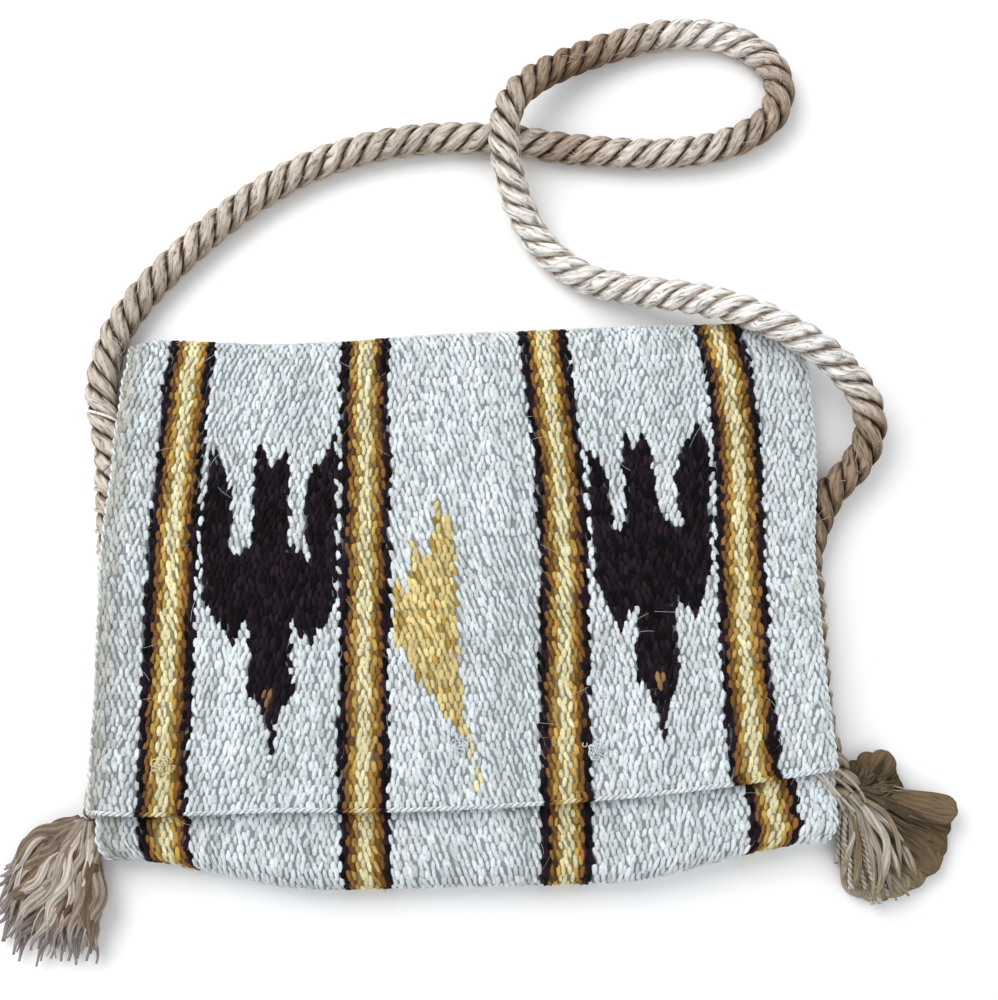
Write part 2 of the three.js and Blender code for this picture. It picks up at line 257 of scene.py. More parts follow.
def fibre_material(name, source, stretch, hair_scale, dye_scale, contrast, fleck_light, bump, roughness, sheen):
    """The mesh's tint, times the fibre shade, with fibre bump; stretch pulls the noise along the yarns."""
    material = bpy.data.materials.new(name)
    material.use_nodes = True
    tree = material.node_tree
    surface = tree.nodes["Principled BSDF"]
    for socket, value in (("Roughness", roughness), ("Specular IOR Level", 0.12), ("Sheen Weight", sheen),
                          ("Sheen Roughness", 0.6)):
        surface.inputs[socket].default_value = value
    if source == "object":
        place, output = new_node(tree, "ShaderNodeTexCoord"), "Object"
    else:
        place, output = new_node(tree, "ShaderNodeUVMap", uv_map=source), "UV"
    stretched = new_node(tree, "ShaderNodeMapping", {"Scale": stretch})
    fibres = new_node(tree, "ShaderNodeGroup", {}, node_tree=SPUN_FIBRE)
    for socket, value in (("Hair scale", hair_scale), ("Dye scale", dye_scale), ("Contrast", contrast),
                          ("Fleck light", fleck_light)):
        fibres.inputs[socket].default_value = value
    tint = new_node(tree, "ShaderNodeAttribute", attribute_name="tint")
    shaded = new_node(tree, "ShaderNodeMix", {"Factor": 1.0}, data_type="RGBA", blend_type="MULTIPLY")
    raised = new_node(tree, "ShaderNodeBump", {"Strength": bump, "Distance": FIBRE_HEIGHT})
    # Sockets 6 and 7 of the mix are its two colours, and output 2 is the mixed one
    join(tree, [
        (place, output, stretched, "Vector"), (stretched, "Vector", fibres, "Place"),
        (tint, "Color", shaded, 6), (fibres, "Shade", shaded, 7), (shaded, 2, surface, "Base Color"),
        (fibres, "Height", raised, "Height"), (raised, "Normal", surface, "Normal"),
    ])
    return material


wool_finish = fibre_material(
    "wool_yarn", "object", stretch=(1.0, 0.45, 0.8), hair_scale=2300, dye_scale=70, contrast=1.1, fleck_light=0.85,
    bump=0.9, roughness=0.95, sheen=0.03)
rope_finish = fibre_material(
    "laid_rope", "yarn", stretch=(1.0, 0.1, 1.0), hair_scale=2.5, dye_scale=0.3, contrast=2.0, fleck_light=0.42,
    bump=1.0, roughness=1.0, sheen=0.03)
lock_finish = fibre_material(
    "opened_rope", "yarn", stretch=(1.0, 0.05, 1.0), hair_scale=2.2, dye_scale=0.3, contrast=1.6, fleck_light=0.7,
    bump=1.0, roughness=0.9, sheen=0.05)
print("finishes:", wool_finish.name, rope_finish.name, lock_finish.name)

# %% [markdown]
# ## The rope's middle line
#
# One rope runs up the left seam, lies in a loose loop beyond the top of the bag, crosses itself, comes back over the
# right corner and runs down the right seam. Its route is a short list of points, with a smooth curve through them:
# the same curve that the solid model follows. A rope simulation could lay it, but the photograph shows how it lies.

# %% Rope route
SEAM_Z = 7.1
HEAD_LENGTH = 9.3
# Middle of the rope in the seams, from the tassel up
LEFT_SEAM = np.array([
    (-144.8, -70, SEAM_Z), (-144.1, -66, SEAM_Z), (-142.8, -54, SEAM_Z), (-142.4, -38, SEAM_Z),
    (-142.4, 10, SEAM_Z), (-144.2, 34, SEAM_Z), (-146, 58, SEAM_Z), (-146.3, 62, SEAM_Z),
])
RIGHT_SEAM = np.array([
    (147, -70, SEAM_Z), (145, -66.4, SEAM_Z), (141.6, -56, SEAM_Z), (140, -41, SEAM_Z), (140, 6, SEAM_Z),
    (140, 12, SEAM_Z),
])
STRAP_ROUTE = np.array([
    (-146.32, 62.3, 7.1), (-146.7, 67.3, 7.1), (-148.6, 80, 7.1), (-151.4, 94, 7.1), (-150.5, 108, 7.1),
    (-143, 129, 7.1), (-111, 165.5, 7.1), (-69, 195.4, 7.1), (-25, 208.5, 7.1), (21, 208.6, 7.1),
    (45, 204, 7.1), (86, 200, 7.1), (117, 203.7, 7.1), (137.6, 215.6, 7.1), (143, 230, 7.1),
    (137.6, 244.4, 7.1), (120, 255.3, 7.1), (96, 257.5, 7.1), (70, 252, 7.5), (50.9, 243.5, 10.4),
    (34, 232, 16), (24.5, 220, 20.2), (21, 207.5, 21.4), (21.5, 193.5, 19), (26.5, 175.5, 11.4),
    (37, 157, 7.6), (54, 142.5, 8), (75, 134.6, 13), (96, 128.4, 19.8), (116, 121, 24.8),
    (136, 111, 25.6), (152, 100.6, 22.9), (166, 86.5, 16.4), (169.8, 74, 12.2), (166.4, 62, 9),
    (159.6, 53.6, 7.5), (153, 47.2, 7.1), (148.2, 40, 7.1), (144.6, 32, 7.1), (141.6, 24, 7.1),
    (140, 16.3, 7.1), (140, 12.3, 7.1),
])
ROPE_STEP = 1.0


def smooth_curve(points, per_span=24):
    """A Catmull-Rom curve through the points, its speed set by the square root of each span's length."""
    p = np.concatenate([[2 * points[0] - points[1]], points, [2 * points[-1] - points[-2]]])
    gap = np.sqrt(np.linalg.norm(np.diff(p, axis=0), axis=1))[:, None]
    before, span, after = gap[:-2], gap[1:-1], gap[2:]
    p0, p1, p2, p3 = p[:-3], p[1:-2], p[2:-1], p[3:]
    leave = ((p1 - p0) / before - (p2 - p0) / (before + span) + (p2 - p1) / span) * span
    arrive = ((p2 - p1) / span - (p3 - p1) / (span + after) + (p3 - p2) / after) * span
    f = np.linspace(0, 1, per_span, endpoint=False)[None, :, None]
    cubic, square = 2 * p1 - 2 * p2 + leave + arrive, 3 * p2 - 3 * p1 - 2 * leave - arrive
    curve = ((cubic[:, None] * f + square[:, None]) * f + leave[:, None]) * f + p1[:, None]
    return np.concatenate([curve.reshape(-1, 3), points[-1:]])


def distances(lines):
    """How far along its line each point lies: the sum of the steps before it."""
    steps = np.linalg.norm(np.diff(lines, axis=-2), axis=-1)
    return np.concatenate([np.zeros_like(steps[..., :1]), np.cumsum(steps, axis=-1)], axis=-1)


def even_steps(points, step):
    """Points at equal distances along a line of points, about step apart, and the distances."""
    run = distances(points)
    at = np.linspace(0, run[-1], max(2, int(round(run[-1] / step)) + 1))
    return np.stack([np.interp(at, run, points[:, axis]) for axis in range(3)], axis=1), at


def line_length(points):
    """The length of a line of points."""
    return np.linalg.norm(np.diff(points, axis=0), axis=1).sum()


def head_end(seam):
    """Where the rope's end stops: straight on from the seam's lowest stretch."""
    return seam[:1] + HEAD_LENGTH * unit(seam[:1] - seam[1:2])


left_curve, right_curve = smooth_curve(LEFT_SEAM), smooth_curve(RIGHT_SEAM)[::-1]
strap_curve = smooth_curve(STRAP_ROUTE)
rope_line, rope_run = even_steps(np.concatenate([
    head_end(LEFT_SEAM), left_curve, strap_curve, right_curve, head_end(RIGHT_SEAM)]), ROPE_STEP)
stretches = [HEAD_LENGTH, line_length(left_curve), line_length(strap_curve), line_length(right_curve), HEAD_LENGTH]
cuts = np.searchsorted(rope_run, np.cumsum([0] + stretches) - 0.5)
strap_line = rope_line[cuts[2]:cuts[3] + 1]
print("whole rope:", round(rope_run[-1]), "mm; free strap:", round(rope_run[cuts[3]] - rope_run[cuts[2]]), "mm")

# %% [markdown]
# ## The laid rope
#
# Real rope is three strands twisted round each other, each a twist of finer yarns the other way. A single tube with
# a twisted bump would look flat from the side, so each strand is its own tube: its middle winds round the rope's
# line, and its wall carries the ridges of its yarns. Points close to the rope's middle line are darker: painted shade
# in the grooves between strands, with real dirt added where the rope is browned, and a painted highlight on the
# crowns. The side away from the light is darker and browner as painted shade. The stretches that are handled most
# are browner, and painted shadow darkens the stretches that lie in shade.

# %% Strands and rope pieces
ROPE_LAY = 28.0
STRANDS, STRAND_OFFSET, STRAND_HEIGHT, STRAND_WIDTH, STRAND_SIDES = 3, 3.6, 3.2, 3.4, 28
YARNS, YARN_LAY, YARN_RIDGE = 8, 36.0, 0.05
FUZZ_PER_MM, FUZZ_STEPS, FUZZ_SIDES, FUZZ_RADIUS = 0.8, 5, 3, 0.07
# Painted light: a painted highlight on the crowns, and painted shade in the grooves, darker where the rope is dirty
CROWN_HIGHLIGHT, ROPE_MID, GROOVE_SHADE_AND_DIRT = srgb("FFFBF8"), srgb("CBBEB2"), srgb("33251A")
CLEAN_GROOVE_SHADE = srgb("A3978B")
# Distances from the rope's middle between which its colour rises out of the painted groove shade, and then to the
# crown's painted highlight
GROOVE_RISE, CROWN_RISE = (5.25, 6.35), (5.9, 6.7)

# Handling has browned the rope in places, and painted shadow darkens it where it lies in shade, as behind the
# crossing, at the right corner and down the right seam: (millimetres along the whole rope, coats of stain and
# painted shadow)
ROPE_WEAR_AND_SHADE = np.array([
    (0, 1.4), (150, 1.2), (210, 1.3), (300, 1.1), (380, 1.0), (412, 1.0), (429, 2.2), (450, 1.1), (471, 0.6),
    (500, 1.1), (526, 2.4), (542, 2.1), (560, 0.7), (578, 0.0), (600, 0.4), (626, 2.1), (651, 3.6), (672, 2.5),
    (690, 1.4), (710, 0.6), (736, 0.3), (758, 0.0), (780, 0.1), (804, 0.2), (830, 0.0), (891, 0.0), (910, 1.0),
    (926, 2.8), (968, 3.8), (1000, 2.8), (1120, 2.3),
])
ROPE_STAIN_AND_SHADE = np.array([0.71, 0.65, 0.585])
# Painted shade: the side away from the light is darker and browner
ROPE_SHADED_SIDE = unit(np.array([0.5, -0.7, -0.5]))
UNDERSIDE_SHADE = np.array([0.55, 0.46, 0.37])


def frames(lines, reference=UP):
    """Ahead along each line, left of it as seen against the reference, and the third direction."""
    ahead = unit(np.gradient(lines, axis=-2))
    left = unit(np.cross(reference, ahead))
    return ahead, left, np.cross(ahead, left)


def laid(line, run, strands, lay, offset, height, width, sides, reference=UP, yarns=0, ridge=0.0, yarn_lay=1.0):
    """Strands wound round a line: each one's middle turns backwards by one turn for every lay along it.
    A strand's section is an oval, height outwards and width sideways, its radius waved by its yarns.
    Gives the points, the faces, each point's way out from the line and its place along its yarn."""
    _, left, above = frames(line, reference)
    turn = 2 * np.pi * (np.arange(strands)[:, None] / strands - run[None] / lay)
    out = np.cos(turn)[..., None] * left + np.sin(turn)[..., None] * above
    centres = line + offset * out
    ahead = unit(np.gradient(centres, axis=1))
    side = unit(np.cross(ahead, out))
    out = np.cross(side, ahead)
    phi = np.pi + 2 * np.pi * np.arange(sides) / sides
    at, number = run[None, :, None], np.arange(strands)[:, None, None]
    yarn = phi[None, None] - 2 * np.pi * at / yarn_lay + number
    yarn = yarn + 0.16 * np.sin(at / 5.3 + 2 * phi) + 0.1 * np.sin(at / 2.1 + 3 * phi)
    swell = 1 + ridge * np.cos(yarns * yarn) + 0.02 * np.sin(at / 7 + 2 * number)
    points, faces = tubes(centres, out, side, swell * height * np.cos(phi), swell * width * np.sin(phi))
    middle = per_ring(np.broadcast_to(line, centres.shape), sides)
    along = per_ring(np.broadcast_to(run[None, :], centres.shape[:2]), sides)
    about = np.concatenate([yarn.reshape(strands, -1), yarn[:, 0, :1], yarn[:, -1, :1]], axis=1).ravel()
    return points, faces, points - middle, np.stack([about * max(yarns, 3) / (2 * np.pi), along], axis=1)


def rope_shape(first, last):
    """The rope between two of its points, and its colours: painted shade in the grooves, a painted highlight on the
    crowns. A thin line of painted shade lies between neighbouring yarns, and no two yarns are equally light."""
    line, run = rope_line[first:last + 1], rope_run[first:last + 1]
    points, faces, way, yarn = laid(line, run, STRANDS, ROPE_LAY, STRAND_OFFSET, STRAND_HEIGHT, STRAND_WIDTH,
                                    STRAND_SIDES, UP, YARNS, YARN_RIDGE, YARN_LAY)
    reach = np.linalg.norm(way, axis=1)
    raised = smooth(reach, *GROOVE_RISE)[:, None]
    light = smooth(reach, *CROWN_RISE)[:, None]
    wear_and_shade = np.interp(yarn[:, 1], *ROPE_WEAR_AND_SHADE.T)[:, None]
    groove = mix(CLEAN_GROOVE_SHADE, GROOVE_SHADE_AND_DIRT, np.clip(wear_and_shade / 0.8, 0, 1))
    tint = mix(mix(groove, ROPE_MID, raised), CROWN_HIGHLIGHT, 0.85 * light)
    # Painted shade between neighbouring yarns; patch gives each yarn its own tone
    crest = 0.5 + 0.5 * np.cos(2 * np.pi * yarn[:, 0])
    patch = 0.5 + 0.5 * np.sin(2.4 * np.round(yarn[:, 0]) + yarn[:, 1] / 2.6)
    tint = tint * (mix(0.74, 1.03, smooth(crest, 0.0, 0.5)) * mix(0.88, 1.06, patch))[:, None]
    # Painted shade on the side away from the light, stronger on stretches with more stain and painted shadow
    under = smooth(way @ ROPE_SHADED_SIDE / np.maximum(reach, 1), -0.1, 0.95)[:, None]
    # Coats of real stain and of painted shadow, from the table above
    tint = tint * ROPE_STAIN_AND_SHADE ** wear_and_shade
    tint = mix(tint, tint * UNDERSIDE_SHADE, np.clip(0.45 + 0.3 * wear_and_shade, 0, 1) * under)
    return points, faces, tint, yarn


def rope_fuzz(first, last, count):
    """Loose hairs on the rope: short bowed lines that start on the crowns and stand off a little."""
    at = rng.integers(first + 3, last - 3, count)
    ahead, left, above = frames(rope_line[first:last + 1])
    ahead, left, above = (axes[at - first][:, None] for axes in (ahead, left, above))
    angle = rng.uniform(0, 2 * np.pi, (count, 1, 1))
    t = np.linspace(0, 1, FUZZ_STEPS)[None, :, None]
    turn = angle + rng.normal(0, 0.35, (count, 1, 1)) * t
    reach = 6.3 + rng.uniform(0.1, 1.3, (count, 1, 1)) * np.sin(0.75 * np.pi * t)
    lines = rope_line[at][:, None] + reach * (np.cos(turn) * left + np.sin(turn) * above)
    lines = lines + rng.normal(0, 4.0, (count, 1, 1)) * t * ahead
    lines[..., 2] = np.maximum(lines[..., 2], 0.2)
    phi = 2 * np.pi * np.arange(FUZZ_SIDES) / FUZZ_SIDES
    _, side, high = frames(lines)
    ring = FUZZ_RADIUS * np.ones((count, FUZZ_STEPS, 1))
    points, faces = tubes(lines, side, high, ring * np.cos(phi), ring * np.sin(phi))
    tint = np.broadcast_to(mix(ROPE_MID, CROWN_HIGHLIGHT, 0.5), (len(points), 3))
    return points, faces, np.concatenate([tint, np.zeros((len(points), 2))], axis=1)


def rope_piece(name, node, first, last):
    """One stretch of the rope as a piece that stands for a solid."""
    points, faces, tint, yarn = rope_shape(first, last)
    points, faces, values = gather([(points, faces, np.concatenate([tint, yarn], axis=1)),
                                    rope_fuzz(first, last, int(FUZZ_PER_MM * (last - first)))])
    piece = new_piece(name, points, faces, values[:, :3], "rope", rope_finish, [("yarn", values[:, 3:])])
    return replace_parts(piece, node)


strap = rope_piece("strap", "strap_rope", cuts[2], cuts[3])
rope_piece("left_seam_rope", "left_side_rope", cuts[1], cuts[2])
rope_piece("right_seam_rope", "right_side_rope", cuts[3], cuts[4])

# %% [markdown]
# ## The folded strip
#
# The cloth is one strip, about 28 cm wide and 64 cm long: up the front from the bottom, or here down from the
# pocket's mouth, round the bottom, up the back, over the top and down as the flap. A cloth simulation could settle
# it, but the photograph fixes its outline, so each run of the strip is a formula for the cloth's middle surface. A
# place on the strip is u, from -1 at its left edge to 1 at its right, and a number of rows along it. The rows are
# those of the weave: one for each warp.

# %% Strip surface
CLOTH_T = 3.0
STRIP_HALF_W = 143.0
MOUTH_Y = 98.0
BOTTOM_DEPTH, TOP_DEPTH = 8.0, 10.0
RUN_ROWS = {"front": 65, "bottom": 6, "back": 68, "top": 10, "flap": 60}
RUN_START = dict(zip(RUN_ROWS, np.cumsum([0] + list(RUN_ROWS.values())[:-1])))
ROWS = sum(RUN_ROWS.values())
ROW_MM = 3.1
STEPS_PER_ROW = 3
STRIP_COLUMNS = 141
# Side edges of the runs: height, left edge, right edge
FRONT_SIDES = np.array([(98, -138.4, 140), (56, -138.4, 140), (20, -142.5, 140.6), (-95, -143.6, 142.8)])
BACK_SIDES = np.array([(74, -139.5, 140.3), (55, -138.6, 140), (12, -135.3, 132.9)])
FLAP_SIDES = np.array([(116, -137, 140.5), (96, -141.2, 145), (70, -143.5, 145.5), (14, -146.4, 141.2),
                       (-20, -146.5, 142), (-75, -147.4, 144.6)])


def top_line(x):
    """The fold at the top: nearly straight, a little higher to the right, with rounded corners. The left one is
    full."""
    left_corner = 4.4 * smooth(-x, 75, 132) - 1.2 * smooth(-x, 0, 60)
    return 117.6 + 0.02 * x - smooth(np.abs(x), 128, 143) + left_corner


def bottom_line(x):
    """The fold at the bottom: straight in the middle, rising to rounded corners."""
    return -109 + 13.2 * smooth(np.abs(x), 55, 140)


def hem_line(x):
    """The flap's edge: a shallow bow that hangs lowest in the middle."""
    return -78.3 + 0.02 * x + 9 * (x / STRIP_HALF_W) ** 2 - 4.6 * smooth(-x, 60, 140)


def fullness(y):
    """How much of the swell is left at a height: less towards the bottom and the top."""
    return 1 - 0.5 * smooth(y, -30, -105) - 0.25 * smooth(y, 20, 105)


def crown(u):
    """The swell across the bag: full in the middle, falling faster and faster to the edges."""
    return 1 - np.abs(u) ** 2.6


def edge_lift(u, y):
    """How much the rope underneath lifts the cloth: most at the edges, and not at all above the seams."""
    return (1 - crown(u)) * smooth(y, 75, 32)


def front_z(u, y):
    """Height of the front panel: its side edges' height plus the lift and the swell."""
    return 11 + 4.9 * edge_lift(u, y) + 8 * crown(u) * fullness(y)


def flap_z(u, x, y):
    """Height of the flap: it lies on the front panel, with shallow waves below the top fold. It rolls down at its
    sides, and its left margin is plump."""
    wave = 1.3 * (0.5 + 0.5 * np.cos(2 * np.pi * (x + 8) / 74)) * smooth(y, -20, 100)
    roll = 3.2 * smooth(np.abs(u), 0.955, 1.0) - 2.6 * smooth(-u, 0.85, 0.92) * smooth(-u, 1.0, 0.935)
    return 15.9 + 3.5 * edge_lift(u, y) + (6.9 * fullness(y) + wave) * crown(u) - roll


def across(sides, u, y):
    """The place across a run: u from -1 at its left edge to 1 at its right; the edges ease from height to height."""
    heights, left, right = sides.T
    k = np.clip(np.searchsorted(-heights, -y), 1, len(heights) - 1)
    f = smooth(y, heights[k - 1], heights[k])
    return mix(mix(left[k - 1], left[k], f), mix(right[k - 1], right[k], f), (u + 1) / 2)


def fold(x, edge, depth, low, high, f):
    """Half a turn of an ellipse between two heights."""
    y = edge + depth * np.sin(np.pi * f)
    return x, y, mix(low, high, 0.5 - 0.5 * np.cos(np.pi * f))


def run_surface(run, u, f):
    """The middle of the cloth in one run, f going from 0 to 1 along it."""
    flat_x = u * STRIP_HALF_W + 0 * f
    low, high = bottom_line(flat_x) + BOTTOM_DEPTH, top_line(flat_x) - TOP_DEPTH
    if run == "front":
        y = mix(MOUTH_Y, low, f)
        place = across(FRONT_SIDES, u, y), y, front_z(u, y)
    elif run == "bottom":
        x = mix(across(FRONT_SIDES, u, low), across(BACK_SIDES, u, low), f)
        place = fold(x, low, CLOTH_T / 2 - BOTTOM_DEPTH, front_z(u, low), CLOTH_T / 2, f)
    elif run == "back":
        y = mix(low, high, f)
        place = across(BACK_SIDES, u, y), y, np.full_like(y, CLOTH_T / 2)
    elif run == "top":
        flap_x = across(FLAP_SIDES, u, high)
        x = mix(across(BACK_SIDES, u, high), flap_x, f)
        place = fold(x, high, TOP_DEPTH - CLOTH_T / 2, CLOTH_T / 2, flap_z(u, flap_x, high), f)
    else:
        y = mix(high, hem_line(flat_x), f)
        x = across(FLAP_SIDES, u, y)
        place = x, y, flap_z(u, x, y)
    return np.stack(np.broadcast_arrays(*place), axis=-1)


def strip_surface():
    """All runs after each other as one grid, with the outer normals, which are along times across."""
    u = np.linspace(-1, 1, STRIP_COLUMNS)[None, :]
    shares = {run: np.arange(rows * STEPS_PER_ROW) / (rows * STEPS_PER_ROW) for run, rows in RUN_ROWS.items()}
    shares["flap"] = np.append(shares["flap"], 1.0)
    places = np.concatenate([run_surface(run, u, f[:, None]) for run, f in shares.items()])
    normals = unit(np.cross(np.gradient(places, axis=0), np.gradient(places, axis=1)))
    return places, normals


strip_places, strip_normals = strip_surface()


def cloth_at(u, row):
    """Place and outer normal at any u and row, blended between the four grid points around it."""
    j = np.clip(row * STEPS_PER_ROW, 0, len(strip_places) - 1.001)
    i = np.clip((u + 1) / 2 * (STRIP_COLUMNS - 1), 0, STRIP_COLUMNS - 1.001)
    j0, i0 = j.astype(int), i.astype(int)
    fj, fi = (j - j0)[..., None], (i - i0)[..., None]

    def blend(grid):
        """The grid's values there: blended across the strip, and then along it."""
        return mix(mix(grid[j0, i0], grid[j0, i0 + 1], fi), mix(grid[j0 + 1, i0], grid[j0 + 1, i0 + 1], fi), fj)

    return blend(strip_places), unit(blend(strip_normals))


strip_length = line_length(strip_places[:, STRIP_COLUMNS // 2])
print("strip:", round(2 * STRIP_HALF_W), "mm wide and", round(strip_length), "mm long, in", ROWS, "rows")

# %% [markdown]
# ## The colours of the yarns
#
# The cloth is a tapestry weave: its wefts hide the warps, and a weft changes wherever the colour changes. So the
# pattern is a chart that gives each place on the strip a yarn. Four stripes run the whole strip; each is the same
# from its middle out: pale yellow, gold, rust, dark, and then one white weft. On the flap, two dark birds hang head
# down between the stripes, with half a yellow figure between them. Their outlines are short lists of corners.

# %% Yarn chart
PICKS = 240
YARN_NAMES = ["white", "dark", "rust", "gold", "pale", "tan", "straw"]
YARN_COLOURS = np.array([srgb(c) for c in ("E3EAED", "1A0F18", "83592F", "BB984E", "EADFB2", "A07C50", "E1CD8E")])
WHITE, DARK, RUST, GOLD, PALE, TAN, STRAW = range(7)
# Stripes: (row along the strip, u of the stripe's middle)
STRIPES = [
    [(0, -0.82), (71, -0.82), (139, -0.804), (152, -0.804), (178, -0.794), (202, -0.798), (209, -0.8)],
    [(0, -0.276), (71, -0.276), (139, -0.288), (152, -0.288), (178, -0.252), (202, -0.263), (209, -0.265)],
    [(0, 0.271), (71, 0.271), (139, 0.237), (152, 0.237), (178, 0.301), (202, 0.278), (209, 0.275)],
    [(0, 0.8), (55, 0.818), (64, 0.839), (71, 0.84), (139, 0.761), (152, 0.761), (178, 0.792), (202, 0.779),
     (209, 0.777)],
]
# Bands of a stripe, from the outside in: (picks from the stripe's middle, yarn)
BANDS = [(9.8, WHITE), (8.2, DARK), (5.9, RUST), (4.0, GOLD), (2.1, PALE)]
LEFT_BIRD = [
    (-103.6, 71), (-105.1, 60.9), (-104.9, 33.9), (-104.3, 5.5), (-91.6, -12.7), (-85.8, -4.5), (-84.4, -19.2),
    (-86.2, -30.2), (-79.4, -41), (-77.6, -44), (-76.8, -57), (-75, -57), (-74.8, -43), (-69.3, -35.6),
    (-67.4, -30.6), (-68.7, -18), (-68, -4.9), (-60.8, -14.2), (-50.6, 1.9), (-50.3, 32.7), (-49.5, 65.9),
    (-51.2, 74), (-53.2, 65.1), (-58, 59.8), (-62.9, 53.2), (-63.1, 27.6), (-61, 20.3), (-67.9, 24.9),
    (-69.9, 31.1), (-69.9, 68.5), (-76.3, 58.5), (-82.1, 69), (-84.3, 53.7), (-84.4, 33.5), (-85.5, 26.1),
    (-91.4, 21), (-93.1, 24.7), (-92.7, 46.9), (-95.8, 58.6),
]
RIGHT_BIRD = [
    (46.9, 73), (45, 60.3), (49.9, 25.4), (50.5, 10.8), (62, -10.3), (69.2, -0.5), (68.7, -11.2), (66.8, -29),
    (74.2, -38.5), (75.4, -42), (76.6, -55), (78.4, -55), (78.6, -41), (84.8, -28.2), (83.9, 0.4), (92.6, -7),
    (99.7, 14.5), (102.3, 61.5), (97.1, 74.5), (88.9, 61.8), (86.3, 49.3), (88.4, 28.2), (79.2, 37.1), (77, 59.6),
    (75.8, 72), (70.7, 62.2), (66.4, 71), (65.7, 49.8), (65.8, 32.4), (61.2, 28.4), (59.4, 45), (57.1, 57.5),
    (51.2, 63.9),
]
YELLOW_FIGURE = [
    (-10.4, 42.2), (-3.3, 32.6), (-2.5, 5.4), (-2.5, -21.2), (0.5, -49.7), (-0.3, -51.6), (-4.5, -46.9),
    (-17.5, -29.5), (-28, -11.6), (-29.5, 2.8), (-29.4, 13.3), (-21.5, 5), (-20.5, 26.9), (-13.8, 18.6),
]
# Single marks on the flap: (x, y, half width, half height, yarn)
MARKS = [(-77.3, -35.4, 2.0, 3.0, TAN), (77, -31, 2.0, 3.4, TAN), (-25.3, -6.2, 1.6, 6.0, GOLD),
         (1.8, -57, 1.1, 6.0, PALE), (4.6, -67.5, 1.2, 6.5, PALE)]


def inside(x, y, outline):
    """Whether points lie in an outline: a line to the right of each point crosses it an odd number of times."""
    ax, ay = np.array(outline).T
    bx, by = np.roll(ax, -1), np.roll(ay, -1)
    x, y = x[..., None], y[..., None]
    spans = (ay > y) != (by > y)
    rise = np.where(by == ay, 1, by - ay)
    return (spans & (x < ax + (y - ay) / rise * (bx - ax))).sum(axis=-1) % 2 == 1


def yarn_at(u, row):
    """The number of the yarn at each place: white, then the figures of the flap, then the stripes."""
    yarn = np.full(u.shape, WHITE)
    place, _ = cloth_at(u, row)
    x, y = place[..., 0], place[..., 1]
    on_flap = row >= RUN_START["flap"]
    for outline, colour in ((YELLOW_FIGURE, STRAW), (LEFT_BIRD, DARK), (RIGHT_BIRD, DARK)):
        yarn[on_flap & inside(x, y, outline)] = colour
    for mark_x, mark_y, half_w, half_h, colour in MARKS:
        yarn[on_flap & (((x - mark_x) / half_w) ** 2 + ((y - mark_y) / half_h) ** 2 < 1)] = colour
    for stripe in STRIPES:
        rows, middles = np.array(stripe).T
        away = np.abs(u - np.interp(row, rows, middles)) * PICKS / 2
        for reach, colour in BANDS:
            yarn[away < reach] = colour
    return yarn


chart = yarn_at(*np.meshgrid(np.linspace(-1, 1, PICKS), np.arange(ROWS) + 0.5))
print("yarns:", {name: int((chart == k).sum()) for k, name in enumerate(YARN_NAMES)})

# %% [markdown]
# ## The ground of the cloth
#
# Between the wefts one sees into the cloth. A thin closed shell along the strip stands for that depth: its two faces
# lie a little inside the cloth's own, and it has the chart's colours in shade. It is the sheet itself.

# %% Ground sheet
GROUND_OUT, GROUND_IN = 0.35, 1.45
GROUND_SHADE = np.array([0.37, 0.39, 0.41])
INNER_SHADE = 0.8
FRONT_SHOWN = 47
GROUND_COLUMNS, GROUND_ROWS = 97, ROWS + 1


def ground_shape():
    """Each row is a closed ring: along the outer face from left to right, and back along the inner one."""
    u = np.linspace(-1, 1, GROUND_COLUMNS)[None, :] + np.zeros((GROUND_ROWS, 1))
    row = np.linspace(0, ROWS, GROUND_ROWS)[:, None] + np.zeros((1, GROUND_COLUMNS))
    place, normal = cloth_at(u, row)
    outer, inner = place + GROUND_OUT * normal, place - GROUND_IN * normal
    rings = np.concatenate([outer, inner[:, ::-1]], axis=1)
    sides = 2 * GROUND_COLUMNS
    k = np.arange(GROUND_COLUMNS - 1)
    end = np.stack([k, k + 1, sides - 2 - k, sides - 1 - k], axis=-1)
    faces = [grid_quads(GROUND_ROWS, sides, True)[:, ::-1], end, (GROUND_ROWS - 1) * sides + end[:, ::-1]]
    colour = YARN_COLOURS[yarn_at(u, np.minimum(row, ROWS - 0.1))]
    shade = np.where((row < FRONT_SHOWN)[..., None], INNER_SHADE, GROUND_SHADE)
    tint = np.concatenate([colour * shade, colour[:, ::-1] * INNER_SHADE], axis=1)
    return rings.reshape(-1, 3), faces, tint.reshape(-1, 3)


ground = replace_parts(new_piece("cloth_ground", *ground_shape(), "wool_cloth", wool_finish), "woven_cloth")

# %% [markdown]
# ## The grains of the weave
#
# What the eye sees of this cloth is its wefts: each goes over one warp and under the next, so it shows as a row of
# plump grains, and its neighbours' grains lie in the gaps, like bricks. A bump map could draw them, but they are
# over two millimetres wide and catch the light, so each is a small closed shape: two points and three rings of
# four, or of three on the back, which lies on the floor. All grains of a run are worked out together: a template is
# carried to every place, and the strip's surface bends it.

# %% Grain template
RING_ALONG = np.array([-0.62, 0.0, 0.62])
RING_SIZE = np.array([0.84, 1.0, 0.84])


